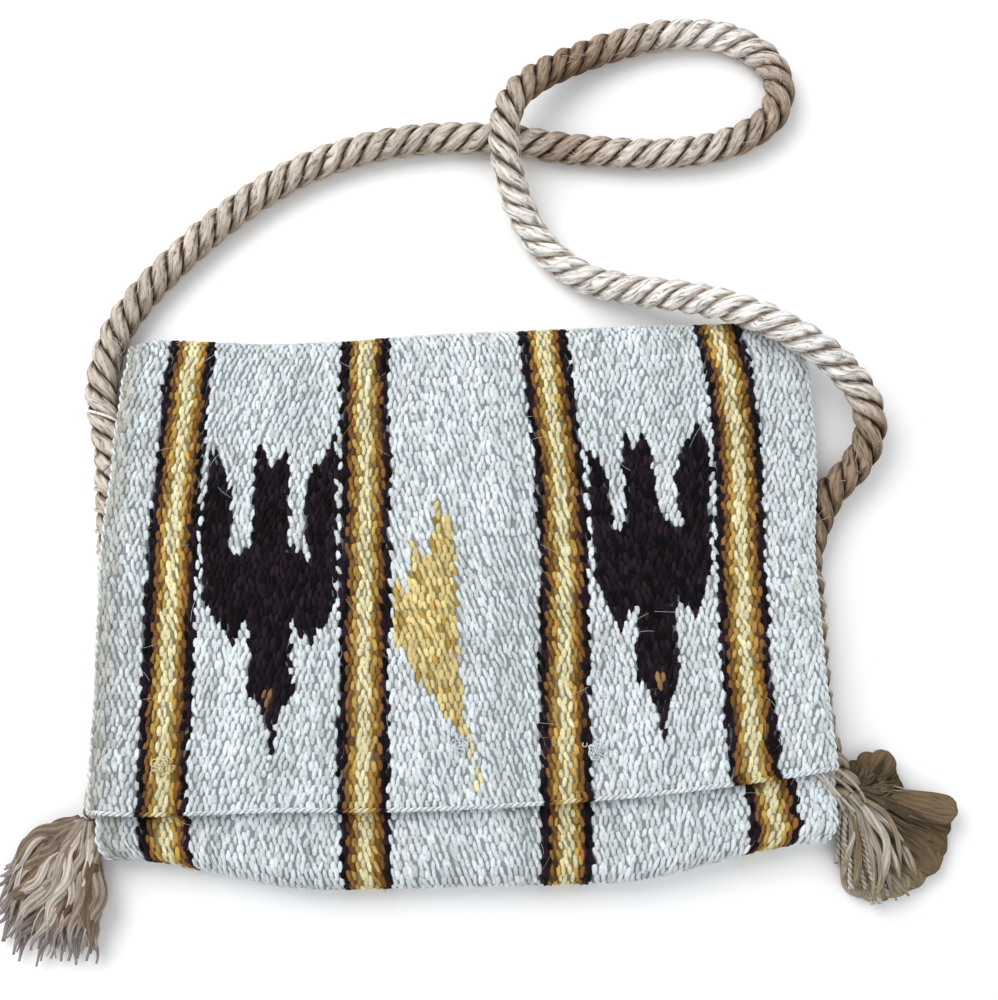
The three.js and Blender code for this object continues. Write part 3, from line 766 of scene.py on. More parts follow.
def grain_template(count):
    """Along, across and height of a grain's points in half lengths, half widths and heights, and its faces.
    Each ring is half a circle of count points, closed underneath."""
    arch = np.linspace(0, np.pi, count)
    along = np.concatenate([np.repeat(RING_ALONG, count), [-1, 1]])
    across = np.concatenate([np.outer(RING_SIZE, np.cos(arch)).ravel(), [0, 0]])
    height = np.concatenate([np.outer(RING_SIZE, np.sin(arch)).ravel(), [0.1, 0.1]])
    here = np.arange(count)
    beyond = (here + 1) % count
    fans = np.concatenate([np.stack([np.full(count, 3 * count), beyond, here], axis=-1),
                           np.stack([2 * count + here, 2 * count + beyond, np.full(count, 3 * count + 1)], axis=-1)])
    return along, across, height, grid_quads(3, count, True), fans


def repeated(faces, count, points):
    """The template's faces for every copy."""
    return (faces[None] + (np.arange(count) * points)[:, None, None]).reshape(-1, faces.shape[1])


print("one grain:", len(grain_template(4)[0]), "points")

# %% Grains of a run
PICK_U = 2.0 / PICKS
GRAIN_HALF_W, GRAIN_HALF_ROWS, GRAIN_H = 1.2, 0.84, 1.05
# How unlike the grains of each yarn are, as a share of its colour
YARN_SPREAD = np.array([0.06, 0.75, 0.26, 0.2, 0.1, 0.15, 0.14])
# A darker warm white: real warmth in some white grains, and painted shade towards the strip's left edge
WARM_AND_SHADED_WHITE = srgb("A9A699")


def drift(u, row):
    """How tightly the weave was beaten, from -1, open, to 1, dense: long slow streaks along the strip."""
    x, y = u * STRIP_HALF_W, row * ROW_MM
    waves = np.sin(x / 5.1 + 1.1 * np.sin(y / 47)) + np.sin(x / 11.3 + 2.0 + 0.8 * np.sin(y / 31 + 1))
    return (waves + 0.9 * np.sin(x / 27 + y / 60)) / 2.9


def lean(x, y):
    """Slope of the grains, in sideways millimetres for each one along: mostly one way, more in some places."""
    return 0.07 + 0.1 * np.sin(x / 31 + 1.3) + 0.08 * np.sin(y / 23 + 0.7) + rng.normal(0, 0.15, x.shape)


def grain_places(first, last):
    """u and row of every grain between two rows: every second pick, the other ones in the next row."""
    row, pick = np.meshgrid(np.arange(first, last), np.arange(PICKS), indexing="ij")
    shows = (row + pick) % 2 == 0
    u = (pick[shows] + 0.5) / PICKS * 2 - 1
    return u, row[shows] + 0.5


def grain_tint(u, row):
    """Each grain's yarn colour, a little different from grain to grain and from weft to weft."""
    yarn = yarn_at(u, row)
    pick = ((u + 1) / 2 * PICKS).astype(int)
    streak = np.random.default_rng(3).normal(0, 0.035, PICKS + 1)[np.clip(pick, 0, PICKS)]
    flecked = np.where((yarn == STRAW) & (rng.random(u.shape) < 0.14), GOLD, yarn)
    colour = YARN_COLOURS[flecked]
    # White grains turn warmer at random, and darker towards the left edge as painted shade
    warmth_and_edge_shade = np.where(yarn == WHITE, 0.7 * smooth(u, -0.9, -0.99) + np.clip(0.3 * rng.normal(0, 1, u.shape), 0, 0.4), 0)
    colour = mix(colour, WARM_AND_SHADED_WHITE, warmth_and_edge_shade[:, None])
    return colour * (1 + rng.normal(0, 1, u.shape) * YARN_SPREAD[yarn] + streak + 0.07 * drift(u, row))[:, None]


def grain_shape(first, last, ring_points):
    """All grains of the rows: the template's points, moved over the strip and lifted off it along its normal."""
    grain_along, grain_across, grain_height, quads, fans = grain_template(ring_points)
    u, row = grain_places(first, last)
    place, _ = cloth_at(u, row)
    slope = lean(place[:, 0], place[:, 1])
    size = 1 + rng.normal(0, 1, (3, len(u), 1)) * np.array([0.13, 0.12, 0.2])[:, None, None]
    size[1] += 0.09 * drift(u, row)[:, None]
    size[2] = np.clip(size[2], 0.6, 1.2)
    along = grain_along * GRAIN_HALF_ROWS * size[0]
    sideways = grain_across * GRAIN_HALF_W * size[1] + slope[:, None] * along * ROW_MM
    shift_u, shift_row = rng.normal(0, 0.25, (2, len(u), 1)) * np.array([PICK_U, 0.45])[:, None, None]
    point_u = u[:, None] + shift_u + sideways / STRIP_HALF_W
    point_row = row[:, None] + shift_row + along
    base, normal = cloth_at(point_u, np.clip(point_row, first - 0.4, last + 0.4))
    points = base + normal * (GROUND_OUT - 0.15 + GRAIN_H * size[2] * grain_height)[..., None]
    count, per = point_u.shape
    faces = [repeated(quads, count, per), repeated(fans, count, per)]
    # Painted shade: each grain is darker towards its base and lighter on its crown
    tint = (grain_tint(u, row)[:, None] * mix(0.78, 1.05, grain_height)[None, :, None]).reshape(-1, 3)
    bake = np.stack([(point_u + 1.02) / 2.04, (point_row - first + 0.5) / (last - first + 1)], axis=-1)
    return points.reshape(-1, 3), faces, tint, bake.reshape(-1, 2)


def grain_piece(name, first, last, ring_points=4):
    """The grains between two rows as one piece, with a flat map of the cloth for its colours."""
    points, faces, tint, bake = grain_shape(first, last, ring_points)
    return new_piece(name, points, faces, tint, "wool_cloth", wool_finish, [("OFBake", bake)])


flap_weave = grain_piece("flap_weave", RUN_START["flap"], ROWS)
top_weave = grain_piece("top_fold_weave", RUN_START["top"], RUN_START["flap"])
back_weave = grain_piece("back_weave", RUN_START["back"], RUN_START["top"], 3)
front_weave = grain_piece("front_weave", FRONT_SHOWN, RUN_START["back"])

# %% [markdown]
# ## Corded hem and side edges
#
# The flap ends in a cord of two plies, and the wefts turn back round the outermost warp at both sides, which makes
# a rounded edge. A bevel on the sheet would be as round but smooth, so both are cords: plies wound along a line on
# the strip, in the colours that the chart has there.

# %% Hem and side edges
HEM_PLY, HEM_LAY = 0.62, 5.0
SIDE_PLY, SIDE_LAY = 0.74, 7.5
PLY_SIDES, PLY_STEP = 6, 0.9
HEM_POINTS, SIDE_POINTS = 400, 900


def edge_cord(u, row, ply, lay, lift, reference):
    """Two plies wound along a line on the strip, in the colours of the chart, darker where they meet."""
    place, normal = cloth_at(u, row)
    place = place + lift * normal
    line, run = even_steps(place, PLY_STEP)
    passed = distances(place)
    here_u, here_row = np.interp(run, passed, u), np.interp(run, passed, row)
    points, faces, way, _ = laid(line, run, 2, lay, ply * 0.85, ply, ply * 0.9, PLY_SIDES, reference)
    colour = YARN_COLOURS[yarn_at(here_u * 0.99, np.minimum(here_row, ROWS - 0.5))]
    colour = colour * (1 + rng.normal(0, 0.1, (2, len(run), 1)))
    shade = 0.55 + 0.45 * smooth(np.linalg.norm(way, axis=1), 0.4 * ply, 1.5 * ply)
    return points, faces, per_ring(colour, PLY_SIDES) * shade[:, None]


def hem_piece():
    """The cord along the flap's edge."""
    u, row = np.linspace(-1, 1, HEM_POINTS), np.full(HEM_POINTS, float(ROWS))
    return new_piece("flap_hem", *edge_cord(u, row, HEM_PLY, HEM_LAY, 0.7, UP), "wool_cloth", wool_finish)


def side_edge_piece(name, u):
    """The rounded edge of the strip at one side, from the pocket's mouth to the hem."""
    row = np.linspace(0, ROWS, SIDE_POINTS)
    cord = edge_cord(np.full(SIDE_POINTS, u), row, SIDE_PLY, SIDE_LAY, -0.1, np.array([1.0, 0.0, 0.0]))
    return new_piece(name, *cord, "wool_cloth", wool_finish)


hem = hem_piece()
side_edges = [side_edge_piece("left_cloth_edge", -1.0), side_edge_piece("right_cloth_edge", 1.0)]

# %% [markdown]
# ## The tassels
#
# At both lower corners the rope's end is opened out, and keeps the waves of its old twist. A particle system could
# grow hair, but single locks can be counted in the photograph, so each is its own tube: it leaves the neck, fans out
# to its own angle, waves, and comes to rest at one of three heights. The left tassel is all wavy locks; the right
# one has broad lobes of felted fibre on its right, and cords and pale yarns on its lower left. A tassel is one piece,
# with the end of the rope.

# %% Locks of yarn
LOCK_RINGS, YARN_RINGS, FINE_RINGS, CORD_RINGS = 30, 28, 20, 40
CORD_PLY, CORD_LAY, CORD_STEP = 0.62, 5.0, 0.8
NECK_STEPS = 8  # steps of the rope's line that belong to a tassel


def lock_lines(neck, ahead, angle, reach, bend, tip, wave, rings, pitch=24.0, rise=(-3.5, 4.0)):
    """Middle lines of locks: straight out at an angle, plus a bow, plus a wave that grows from the neck.
    Each starts at its own place in the neck and comes down or up to the height of its tip."""
    s = np.linspace(0, 1, rings)[None, :, None]
    turn = np.radians(angle)[:, None, None]
    out = np.concatenate([np.cos(turn), np.sin(turn), 0 * turn], axis=-1)
    side = np.concatenate([-np.sin(turn), np.cos(turn), 0 * turn], axis=-1)
    n = len(angle)
    phase = rng.uniform(0, 2 * np.pi, (n, 1, 1))
    pitch = pitch * rng.uniform(0.75, 1.25, (n, 1, 1))
    swing = bend[:, None, None] * np.sin(np.pi * s)
    old_twist = np.sin(2 * np.pi * reach[:, None, None] * s / pitch + phase)
    swing = swing + wave[:, None, None] * smooth(s, 0.08, 0.35) * old_twist
    neck_left = np.array([-ahead[1], ahead[0], 0.0])
    apart = 5.0 * (out @ neck_left)[..., None] * (1 - s) ** 2
    lines = neck + out * reach[:, None, None] * s + side * swing + neck_left * apart
    start = SEAM_Z + rng.uniform(*rise, (n, 1))
    nod = 0.5 * np.sin(4 * np.pi * s[..., 0] + phase[..., 0]) * smooth(s[..., 0], 0.2, 0.5)
    lines[..., 2] = mix(start, tip[:, None], smooth(s[..., 0], 0, 0.9)) + nod
    return lines


def tapered(rings, blunt, end):
    """Width of a lock along it: it swells out of the neck, and from blunt on it narrows to a share."""
    s = np.linspace(0, 1, rings)
    return mix(0.6, 1, smooth(s, 0, 0.3)) * mix(1, end, smooth(s, blunt, 1))


def rounded(rings, half_width, reach):
    """Width of each lobe along it: it widens out of the neck, and ends in half a circle."""
    s = np.linspace(0, 1, rings)[None]
    end = (half_width / reach)[:, None]
    past = np.clip((s - 1 + end) / end, 0, 0.99)
    return mix(0.25, 1, smooth(s, 0, 0.8)) * np.sqrt(1 - past ** 2)


def lock_tubes(lines, half_width, profile, flatness, ridges, lay, colour, sides, groove=0.58):
    """Flattened tubes along lines, ridged by their yarns; profile is their width along them, colour is
    (lock, ring, 3). Gives points, faces, and for each point its colour and its place along the yarn."""
    n, r = lines.shape[:2]
    run = distances(lines)
    width = half_width[:, None] * profile
    _, left, above = frames(lines)
    phi = 2 * np.pi * np.arange(sides) / sides
    yarn = phi[None, None] - 2 * np.pi * run[..., None] / lay
    ridge = 1 + 0.1 * np.cos(ridges * yarn)
    points, faces = tubes(lines, left, above, ridge * width[..., None] * np.cos(phi),
                          ridge * flatness * width[..., None] * np.sin(phi))
    # Painted shade: between the ridges the colour falls to the share groove
    shade = mix(groove, 1.0, (ridge - 0.9) / 0.2)
    ends = np.ones((n, 2))
    shade = np.concatenate([shade.reshape(n, -1), ends], axis=1).reshape(-1, 1)
    around = np.concatenate([(yarn * ridges / (2 * np.pi)).reshape(n, -1), 0 * ends], axis=1).ravel()
    number = np.repeat(np.arange(n), r * sides + 2)
    uv = np.stack([around + 9.7 * number, per_ring(run, sides)], axis=1)
    return points, faces, np.concatenate([per_ring(colour, sides) * shade, uv], axis=1)


def faded(base, tip_colour, rings, start):
    """Each lock's colour along it: its own, changing to the tip's."""
    s = np.linspace(0, 1, rings)[None, :, None]
    return mix(base[:, None], tip_colour, smooth(s, start, 1.0))


def palette(codes, shares, count):
    """Colours drawn from a few, each a little lighter or darker."""
    colours = np.array([srgb(code) for code in codes])
    drawn = colours[rng.choice(len(codes), count, p=shares)]
    return drawn * rng.uniform(0.85, 1.12, (count, 1))


def lock_batch(neck, ahead, angle, reach, bend, tip, *, wave, width, colours, shares, tip_colour, fade, rings, sides,
               flatness, ridges, lay, taper=(0.8, 0.2), groove=0.58, pitch=24.0, rise=(-3.5, 4.0), stain_and_shade=None):
    """Locks that open out of a neck, as shapes. Waves and widths are drawn between two values, and colours from a
    few; fade is where the tip's colour begins, and stain_and_shade is a colour and its share in each lock: a real
    change of tone in the right tassel, painted shade in the left one."""
    n = len(angle)
    lines = lock_lines(neck, ahead, angle, reach, bend, tip, rng.uniform(*wave, n), rings, pitch, rise)
    base = palette(colours, shares, n)
    if stain_and_shade is not None:
        base = mix(base, stain_and_shade[0], stain_and_shade[1][:, None])
    half_width = rng.uniform(*width, n) if isinstance(width, tuple) else np.full(n, width)
    return lock_tubes(lines, half_width, tapered(rings, *taper), flatness, ridges, lay,
                      faded(base, tip_colour, rings, fade), sides, groove)


def yarn_lines(points_list, radius, colour, reference=UP, sides=6):
    """Plain round yarns along lines of equal length, as shapes with colours and places."""
    lines = np.array(points_list)
    n, r = lines.shape[:2]
    _, left, above = frames(lines, reference)
    phi = 2 * np.pi * np.arange(sides) / sides
    ring = np.ones((n, r, 1)) * radius
    points, faces = tubes(lines, left, above, ring * np.cos(phi), ring * np.sin(phi))
    tint = np.broadcast_to(np.asarray(colour, float).reshape(-1, 1, 3), (n, r, 3))
    along = per_ring(np.broadcast_to(np.arange(r, dtype=float), (n, r)), sides)
    return points, faces, np.concatenate([per_ring(tint, sides), np.stack([along * 0, along], axis=1)], axis=1)


def cord_lines(lines, colour):
    """A two-ply cord along each line, darker where the plies meet."""
    shapes = []
    for line, tint in zip(lines, colour):
        path, run = even_steps(line, CORD_STEP)
        points, faces, way, yarn = laid(path, run, 2, CORD_LAY, CORD_PLY * 0.9, CORD_PLY, CORD_PLY * 0.95, PLY_SIDES,
                                        UP, 3, 0.08, 4.0)
        shade = 0.5 + 0.5 * smooth(np.linalg.norm(way, axis=1), 0.3 * CORD_PLY, 1.6 * CORD_PLY)
        shapes.append((points, faces, np.concatenate([tint * shade[:, None], yarn], axis=1)))
    return shapes


def tassel_piece(name, node, first, last, shapes):
    """The rope's end and everything that opens out of it, as one piece that stands for the solid."""
    points, faces, tint, yarn = rope_shape(first, last)
    points, faces, values = gather([(points, faces, np.concatenate([tint, yarn], axis=1))] + shapes)
    piece = new_piece(name, points, faces, values[:, :3], "opened_rope", lock_finish, [("yarn", values[:, 3:])])
    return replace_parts(piece, node)


print("lock helpers ready")

# %% Left tassel
# Reach of the fan, by angle
LEFT_FAN = np.array([(204, 38), (212, 43), (224, 52), (235, 58), (245, 58), (260, 55), (277, 52)])
PALE_TIP = srgb("BBB0AB")


def fan(table, low, high, counts):
    """Angles spread over a fan in layers, each layer's reach from the table, and the layers' numbers."""
    layer = np.repeat(np.arange(len(counts)), counts)
    order = np.concatenate([np.linspace(0, 1, count) for count in counts])
    angle = mix(low, high, order) + rng.normal(0, 1.6, len(layer))
    reach = np.interp(angle, *table.T) * rng.uniform(0.9, 1.04, len(layer)) * np.array([1.0, 0.97, 0.92])[layer]
    return angle, reach, layer


def left_tassel_shapes():
    """Soft wavy locks in three layers, light locks over them, a brown lock at the lower right, thin fibres."""
    ahead = unit(LEFT_SEAM[0] - LEFT_SEAM[1])
    neck = LEFT_SEAM[0] + [-3.6, -10.0, 0.0]

    def bow(angle, spread):
        """Sideways bow of locks: uneven, and to the left on the left side of the fan."""
        return rng.normal(0, spread, len(angle)) - 2.5 * smooth(angle, 248, 216)

    angle, reach, layer = fan(LEFT_FAN, 210, 273, (18, 16, 14))
    bend = bow(angle, 1.4)
    tip = np.array([3.4, 6.2, 9.2])[layer] + rng.uniform(0, 1.2, len(layer))
    # The locks that point most to the left are blended towards brown as painted shade
    shapes = [lock_batch(
        neck, ahead, angle, reach, bend, tip, wave=(0.9, 1.8), width=(2.0, 3.3), taper=(0.65, 0.16), flatness=0.65,
        colours=("CBBDAF", "B09D8C", "957F6A", "6A5440"), shares=(0.2, 0.36, 0.28, 0.16), tip_colour=PALE_TIP,
        fade=0.75, stain_and_shade=(srgb("745C44"), 0.5 * smooth(angle, 240, 216)), rings=LOCK_RINGS, sides=18, ridges=6,
        lay=90.0, groove=0.42, pitch=22.0, rise=(-3.5, 6.5))]
    angle, reach, layer = fan(LEFT_FAN * [1, 0.95], 214, 270, (4, 6, 6))
    tip = np.array([8.0, 9.6, 11.0])[layer]
    shapes.append(lock_batch(
        neck, ahead, angle, reach, bow(angle, 2.4), tip, wave=(1.1, 2.0), width=(1.3, 2.3), taper=(0.55, 0.12),
        flatness=0.55, colours=("D2C6B9", "BDAEA0", "9A8672"), shares=(0.5, 0.3, 0.2), tip_colour=PALE_TIP, fade=0.75,
        rings=LOCK_RINGS, sides=15, ridges=5, lay=90.0, groove=0.5, pitch=25.0, rise=(3.5, 7.0)))
    thick = lock_lines(neck, ahead, np.array([272.0]), np.array([50.0]), np.array([0.0]), np.array([10.0]),
                       np.array([0.8]), LOCK_RINGS, rise=(4.0, 5.0))
    brown = faded(srgb("705C49")[None], srgb("8D7A66"), LOCK_RINGS, 0.6)
    shapes.append(lock_tubes(thick, np.array([2.8]), tapered(LOCK_RINGS, 0.7, 0.15), 0.7, 6, 90.0, brown, 18))
    count = 110
    angle = rng.uniform(208, 272, count)
    reach = np.interp(angle, *LEFT_FAN.T) * rng.uniform(0.6, 0.9, count)
    shapes.append(lock_batch(
        neck, ahead, angle, reach, bow(angle, 2.0), rng.uniform(2.0, 11.5, count), wave=(0.8, 2.2), width=(0.18, 0.4),
        flatness=1.0, colours=("D6CBBC", "9C866A"), shares=(0.5, 0.5), tip_colour=PALE_TIP, fade=0.7,
        rings=FINE_RINGS, sides=4, ridges=0, lay=9.0))
    return shapes


tassel_piece("left_rope_tassel", "left_tassel", cuts[1] - NECK_STEPS, cuts[1], left_tassel_shapes())

# %% Right tassel
RIGHT_FAN = np.array([
    (-108, 26), (-94, 36), (-82, 43), (-70, 43), (-60, 43), (-50, 45), (-40, 46), (-28, 44), (-15, 43), (-9, 42),
    (-2, 31), (4, 22), (18, 22), (34, 22.5), (44, 24), (53, 20.5), (60, 15.5), (75, 11),
])
# Lobes of felted fibre: angle, reach, half width, height of the tip, bow
RIGHT_LOBES = np.array([
    (64, 14, 5.0, 5.6, 0.0), (53, 19.5, 5.0, 6.6, -1.0), (30, 22.5, 6.0, 5.6, 1.0), (43, 23.5, 5.0, 8.4, -2.0),
    (17, 22, 6.0, 4.8, 0.0), (4, 22.5, 5.5, 5.6, 0.0), (-21, 42.5, 6.5, 5.0, 1.0), (-31, 44, 8.0, 4.2, -1.0),
    (-42, 45, 8.5, 5.0, 1.0), (-53, 44.5, 8.5, 3.8, -1.0), (-64, 43.5, 8.0, 4.4, 0.0), (-75, 43, 7.5, 3.6, 0.0),
    (-86, 40, 6.5, 4.0, 0.0), (-11.5, 43, 5.4, 8.6, 1.0),
])
LOBE_COLOURS = np.array([srgb(code) for code in (
    "584732", "62503A", "5A4935", "6C5A43", "4E3E2C", "463725", "54442F", "5E4D37", "6A5942", "7A6A55", "93836F",
    "9A8B7A", "9A8D7E", "75624A")])


def right_tassel_shapes():
    """Lobes of felted fibre to the right, with thin locks on them; over the lower left cords and pale yarns."""
    ahead = unit(RIGHT_SEAM[0] - RIGHT_SEAM[1])
    neck = RIGHT_SEAM[0] + 7.0 * ahead
    angle, reach, half_width, tip, bend = RIGHT_LOBES.T
    lines = lock_lines(neck, ahead, angle, reach, bend, tip, np.full(len(angle), 0.3), LOCK_RINGS, 34.0, (-3.0, 1.0))
    tint = faded(LOBE_COLOURS, 1.25 * LOBE_COLOURS[:, None], LOCK_RINGS, 0.5)
    shapes = [lock_tubes(lines, half_width, rounded(LOCK_RINGS, half_width, reach), 0.32, 13, 900.0, tint, 52,
                         0.76)]
    count = 78
    angle = rng.uniform(-70, 58, count)
    reach = np.interp(angle, *RIGHT_FAN.T) * rng.uniform(0.7, 0.92, count)
    bend = rng.normal(0, 0.9, count) - 2.0 * smooth(angle, 20, 50)
    shapes.append(lock_batch(
        neck, ahead, angle, reach, bend, rng.uniform(3.0, 11.0, count), wave=(0.2, 0.5), width=(0.6, 1.4),
        taper=(0.6, 0.1), flatness=0.7, colours=("5E4D38", "716149", "857559", "463827"),
        shares=(0.42, 0.3, 0.13, 0.15), tip_colour=srgb("7C6B4E"), fade=0.8,
        stain_and_shade=(srgb("9A8A74"), 0.6 * smooth(angle, -40, -64)), rings=YARN_RINGS, sides=12, ridges=4, lay=120.0,
        pitch=34.0, rise=(-1.0, 5.0)))
    angle, reach, layer = fan(RIGHT_FAN, -98, -54, (6, 7, 6))
    tip = np.array([7.6, 9.4, 11.0])[layer]
    shapes.append(lock_batch(
        neck, ahead, angle, reach, rng.normal(2.0, 1.6, len(layer)), tip, wave=(0.3, 0.8), width=(0.6, 1.2),
        taper=(0.88, 0.45), flatness=0.8, colours=("CFC4B5", "B9AA96", "948062"), shares=(0.45, 0.33, 0.22),
        tip_colour=srgb("A39277"), fade=0.7, rings=YARN_RINGS, sides=12, ridges=4, lay=60.0, pitch=30.0,
        rise=(2.0, 6.0)))
    pale = lock_lines(neck, ahead, np.array([-74.0, -57.0]), np.array([36.0, 33.0]), np.array([6.5, 6.0]),
                      np.array([12.6, 11.6]), np.array([0.4, 0.4]), YARN_RINGS, rise=(5.0, 6.0))
    base = np.array([srgb("D3C8B8"), srgb("A8987C")])
    shapes.append(lock_tubes(pale, np.array([1.6, 1.0]), tapered(YARN_RINGS, 0.8, 0.2), 0.75, 4, 60.0,
                             faded(base, srgb("A99A80"), YARN_RINGS, 0.7), 12))
    count = 14
    angle = np.linspace(-103, -72, count) + rng.normal(0, 1.2, count)
    reach = np.interp(angle, *RIGHT_FAN.T) * rng.uniform(0.88, 1.0, count)
    tip = np.resize([4.0, 6.6, 8.6], count)
    cords = lock_lines(neck, ahead, angle, reach, rng.normal(0, 1.0, count), tip, rng.uniform(0.2, 0.6, count),
                       CORD_RINGS, rise=(0.0, 4.0))
    shapes += cord_lines(cords, palette(("CBC0B1", "B0A18C", "8A7556"), (0.45, 0.35, 0.2), count))
    count = 50
    angle = rng.uniform(-100, 56, count)
    reach = np.interp(angle, *RIGHT_FAN.T) * rng.uniform(0.6, 0.9, count)
    shapes.append(lock_batch(
        neck, ahead, angle, reach, rng.normal(0, 2.0, count), rng.uniform(2.0, 10.5, count), wave=(0.4, 1.4),
        width=0.2, flatness=1.0, colours=("C2B59E", "86724F"), shares=(0.5, 0.5), tip_colour=srgb("857459"), fade=0.7,
        rings=FINE_RINGS, sides=4, ridges=0, lay=9.0))
    return shapes


tassel_piece("right_rope_tassel", "right_tassel", cuts[4], cuts[4] + NECK_STEPS, right_tassel_shapes())

# %% [markdown]
# ## Stitches, tufts and stray fibres
#
# Thick thread holds the cloth's edges to the rope; at the right corner a few long stitches show. Wool sheds: ends of
# weft stand out here and there, and single hairs lie on the cloth. All are thin yarns, so one helper serves.

# %% Stitches
STITCH_STEP = 9
STITCH_POINTS = 14
STITCH_AROUND = (84, -40, 5, 6.9)  # first and last angle, lean along the rope, distance from its middle
SEAM_THREAD, CORNER_THREAD, SINGLE_THREAD = 0.55, 0.62, 0.6
WEST, EAST = np.array([-1.0, 0, 0]), np.array([1.0, 0, 0])


def stitch_arc(index, outward, start, stop, slant, radius):
    """A yarn round part of the rope at one of its points: an arc in the plane across the rope, leaning along it."""
    ahead = unit(rope_line[index + 1] - rope_line[index - 1])
    t = np.linspace(0, 1, STITCH_POINTS)[:, None]
    angle = np.radians(mix(start, stop, t))
    return rope_line[index] + radius * (np.cos(angle) * outward + np.sin(angle) * UP) + ahead * slant * (t - 0.5)


def seam_stitches():
    """Stitches down both seams, from the front panel's edge round the outside of the rope."""
    left = np.arange(cuts[1] + 8, cuts[2] - 4, STITCH_STEP)
    right = np.arange(cuts[3] + 4, cuts[4] - 8, STITCH_STEP)
    return ([stitch_arc(i, WEST, *STITCH_AROUND) for i in left]
            + [stitch_arc(i, EAST, *STITCH_AROUND) for i in right])


def corner_stitches():
    """Long loose stitches from the flap's lower right corner down to the neck of the tassel."""
    start = np.array([(133.5, -66.8, 20.2), (137.0, -67.4, 20.0), (140.0, -67.8, 19.8), (144.2, -67.0, 19.2)])
    stop = np.array([(146.5, -82.5, 14.0), (151.0, -83.0, 13.4), (154.0, -80.5, 13.8), (155.6, -79.4, 13.4)])
    t = np.linspace(0, 1, STITCH_POINTS)[None, :, None]
    lines = mix(start[:, None], stop[:, None], t)
    bow = np.array([1.6, -1.0, 1.2, 1.2])[:, None]
    lines[..., 0] += bow * np.sin(np.pi * t[..., 0])
    lines[..., 2] += 1.8 * np.sin(np.pi * t[..., 0])
    return list(lines)


def stitch_piece():
    """All stitches, and the single white one across the strap above the left seam."""
    seams = yarn_lines(seam_stitches(), SEAM_THREAD, srgb("C9BFB2"))
    threads = [srgb(code) for code in ("B5ABA0", "C6BDB2", "9C8F80", "B0A69A")]
    corner = yarn_lines(corner_stitches(), CORNER_THREAD, threads)
    above = cuts[2] + int(np.argmin(np.abs(strap_line[:60, 1] - 85.0)))
    single = yarn_lines([stitch_arc(above, WEST, 150, 40, 5, 7.0)], SINGLE_THREAD, srgb("F2F0EC"))
    points, faces, values = gather([seams, corner, single])
    return new_piece("seam_stitches", points, faces, values[:, :3], "rope", rope_finish, [("yarn", values[:, 3:])])


stitch_piece()

# %% Tufts and stray hairs
# Tufts on the flap: (x, y, yarn, spread)
TUFTS = [(-118.8, -60.5, PALE, 6.5), (-2.3, -54.9, WHITE, 4.6), (50.1, -57.6, WHITE, 4.4), (120.0, -57.2, DARK, 4.0)]
CURLS, CURL_POINTS, CURL_RADIUS = 20, 10, 0.2
HAIRS, HAIR_POINTS, HAIR_RADIUS = 260, 6, 0.06
HAIR_LIFT = 1.25


def strip_place(x, y):
    """u and row of the place on the flap that is nearest to x and y."""
    first = RUN_START["flap"] * STEPS_PER_ROW
    away = np.hypot(strip_places[first:, :, 0] - x, strip_places[first:, :, 1] - y)
    j, i = np.unravel_index(np.argmin(away), away.shape)
    return i / (STRIP_COLUMNS - 1) * 2 - 1, (j + first) / STEPS_PER_ROW


def hair_lines(u, row, heading, length, rise):
    """Hairs that leave the cloth, bow over it and come back: steps along the strip plus a hump off it."""
    t = np.linspace(0, 1, HAIR_POINTS)[None, :]
    curl = rng.normal(0, 0.5, (len(u), 1))
    angle = heading[:, None] + curl * t
    step = length[:, None] / (HAIR_POINTS - 1)
    du = np.cumsum(step * np.cos(angle), axis=1) / STRIP_HALF_W
    drow = np.cumsum(step * np.sin(angle), axis=1) / ROW_MM
    place, normal = cloth_at(np.clip(u[:, None] + du, -0.995, 0.995), np.clip(row[:, None] + drow, 0, ROWS - 0.2))
    return place + normal * (HAIR_LIFT + rise[:, None] * np.sin(np.pi * t))[..., None]


def tuft_shapes():
    """For each tuft a score of small curls: three quarters of a ring each, close together and partly standing up."""
    shapes = []
    for x, y, yarn, spread in TUFTS:
        place, normal = cloth_at(*(np.array([value]) for value in strip_place(x, y)))
        middle = place + rng.normal(0, spread / 3.4, (CURLS, 3)) * [1, 1, 0] + normal * 1.3
        turn = rng.uniform(0, 2 * np.pi, (CURLS, 1)) + np.linspace(0, 1.5 * np.pi, CURL_POINTS)
        size = rng.uniform(0.6, 1.9, (CURLS, 1))
        tilt = rng.uniform(0.1, 0.7, (CURLS, 1))
        ring = np.stack([size * np.cos(turn), size * np.sin(turn), 0.6 + tilt * size * np.sin(2 * turn)], axis=-1)
        colour = YARN_COLOURS[yarn] * rng.uniform(0.8, 1.1, (CURLS, 1))
        shapes.append(yarn_lines(middle[:, None] + ring, CURL_RADIUS, colour))
    return shapes


def hair_shape():
    """Single hairs strewn over the flap, the top fold and the lower front, in the colour of the yarn under them."""
    u = rng.uniform(-0.97, 0.97, HAIRS)
    row = np.where(rng.random(HAIRS) < 0.85, rng.uniform(RUN_START["top"] + 3, ROWS - 1, HAIRS),
                   rng.uniform(55, 68, HAIRS))
    lines = hair_lines(u, row, rng.uniform(0, 2 * np.pi, HAIRS), rng.uniform(4, 11, HAIRS),
                       rng.uniform(0.2, 0.9, HAIRS))
    return yarn_lines(lines, HAIR_RADIUS, 1.15 * YARN_COLOURS[yarn_at(u, row)] + 0.02, UP, 3)


points, faces, values = gather(tuft_shapes() + [hair_shape()])
fluff = new_piece("tufts_and_hairs", points, faces, values[:, :3], "wool_cloth", wool_finish)

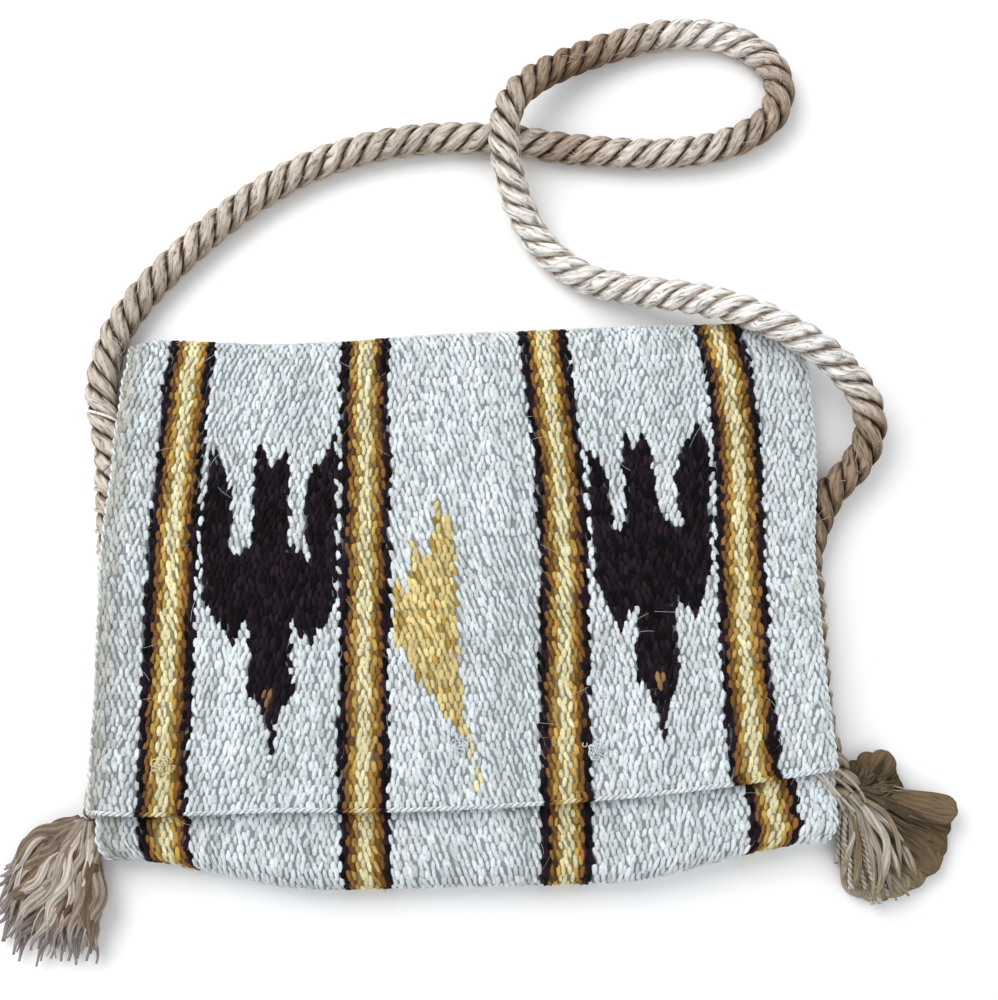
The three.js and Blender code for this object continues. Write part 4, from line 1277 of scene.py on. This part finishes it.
# %% [markdown]
# ## Floor and light
#
# The bag lies on a plain pale floor. The photograph's light is soft and comes from above and from the left: the
# strap is light on its upper left, and the right seam is in shade. A wide lamp on that side does the same, and a
# pale sky fills the shade.

# %% Floor and light
FLOOR_HALF = 3.0
FLOOR_COLOUR, FLOOR_ROUGHNESS = (0.96, 0.96, 0.96, 1), 0.9
SKY_COLOUR, SKY_STRENGTH = (0.95, 0.98, 1.0, 1), 0.68


def floor_piece():
    """A wide level sheet under the bag, plain and matt."""
    corners = [(-FLOOR_HALF, -FLOOR_HALF, 0), (FLOOR_HALF, -FLOOR_HALF, 0),
               (FLOOR_HALF, FLOOR_HALF, 0), (-FLOOR_HALF, FLOOR_HALF, 0)]
    mesh = bpy.data.meshes.new("floor")
    mesh.from_pydata(corners, [], [(0, 1, 2, 3)])
    material = bpy.data.materials.new("pale_floor")
    material.use_nodes = True
    surface = material.node_tree.nodes["Principled BSDF"]
    surface.inputs["Base Color"].default_value = FLOOR_COLOUR
    surface.inputs["Roughness"].default_value = FLOOR_ROUGHNESS
    mesh.materials.append(material)
    floor = bpy.data.objects.new("floor", mesh)
    bpy.context.scene.collection.objects.link(floor)
    return floor


def soft_lamp(name, place, watts, size):
    """A square lamp at a place in metres, turned to the middle of the bag."""
    data = bpy.data.lights.new(name, "AREA")
    data.energy = watts
    data.size = size
    lamp = bpy.data.objects.new(name, data)
    back = unit(np.array(place) - AIM * MM)
    right = unit(np.cross([0.0, 1.0, 0.0], back))
    turn = np.eye(4)
    turn[:3] = np.column_stack([right, np.cross(back, right), back, place])
    lamp.matrix_world = Matrix(turn.tolist())
    bpy.context.scene.collection.objects.link(lamp)
    return lamp


floor = floor_piece()
soft_lamp("key_light", (-0.7, 0.7, 1.1), watts=15, size=1.1)
soft_lamp("fill_light", (0.5, -0.6, 1.4), watts=4, size=1.2)
sky = bpy.data.worlds.new("pale_sky")
sky.use_nodes = True
sky.node_tree.nodes["Background"].inputs["Color"].default_value = SKY_COLOUR
sky.node_tree.nodes["Background"].inputs["Strength"].default_value = SKY_STRENGTH
bpy.context.scene.world = sky
bpy.context.scene.view_settings.view_transform = "Standard"
print("floor and light ready")

# %% [markdown]
#
# The cloth's flat size is the strip's, and the grains that ride on it are its own pieces.

# %% Finish
print("scene ready")
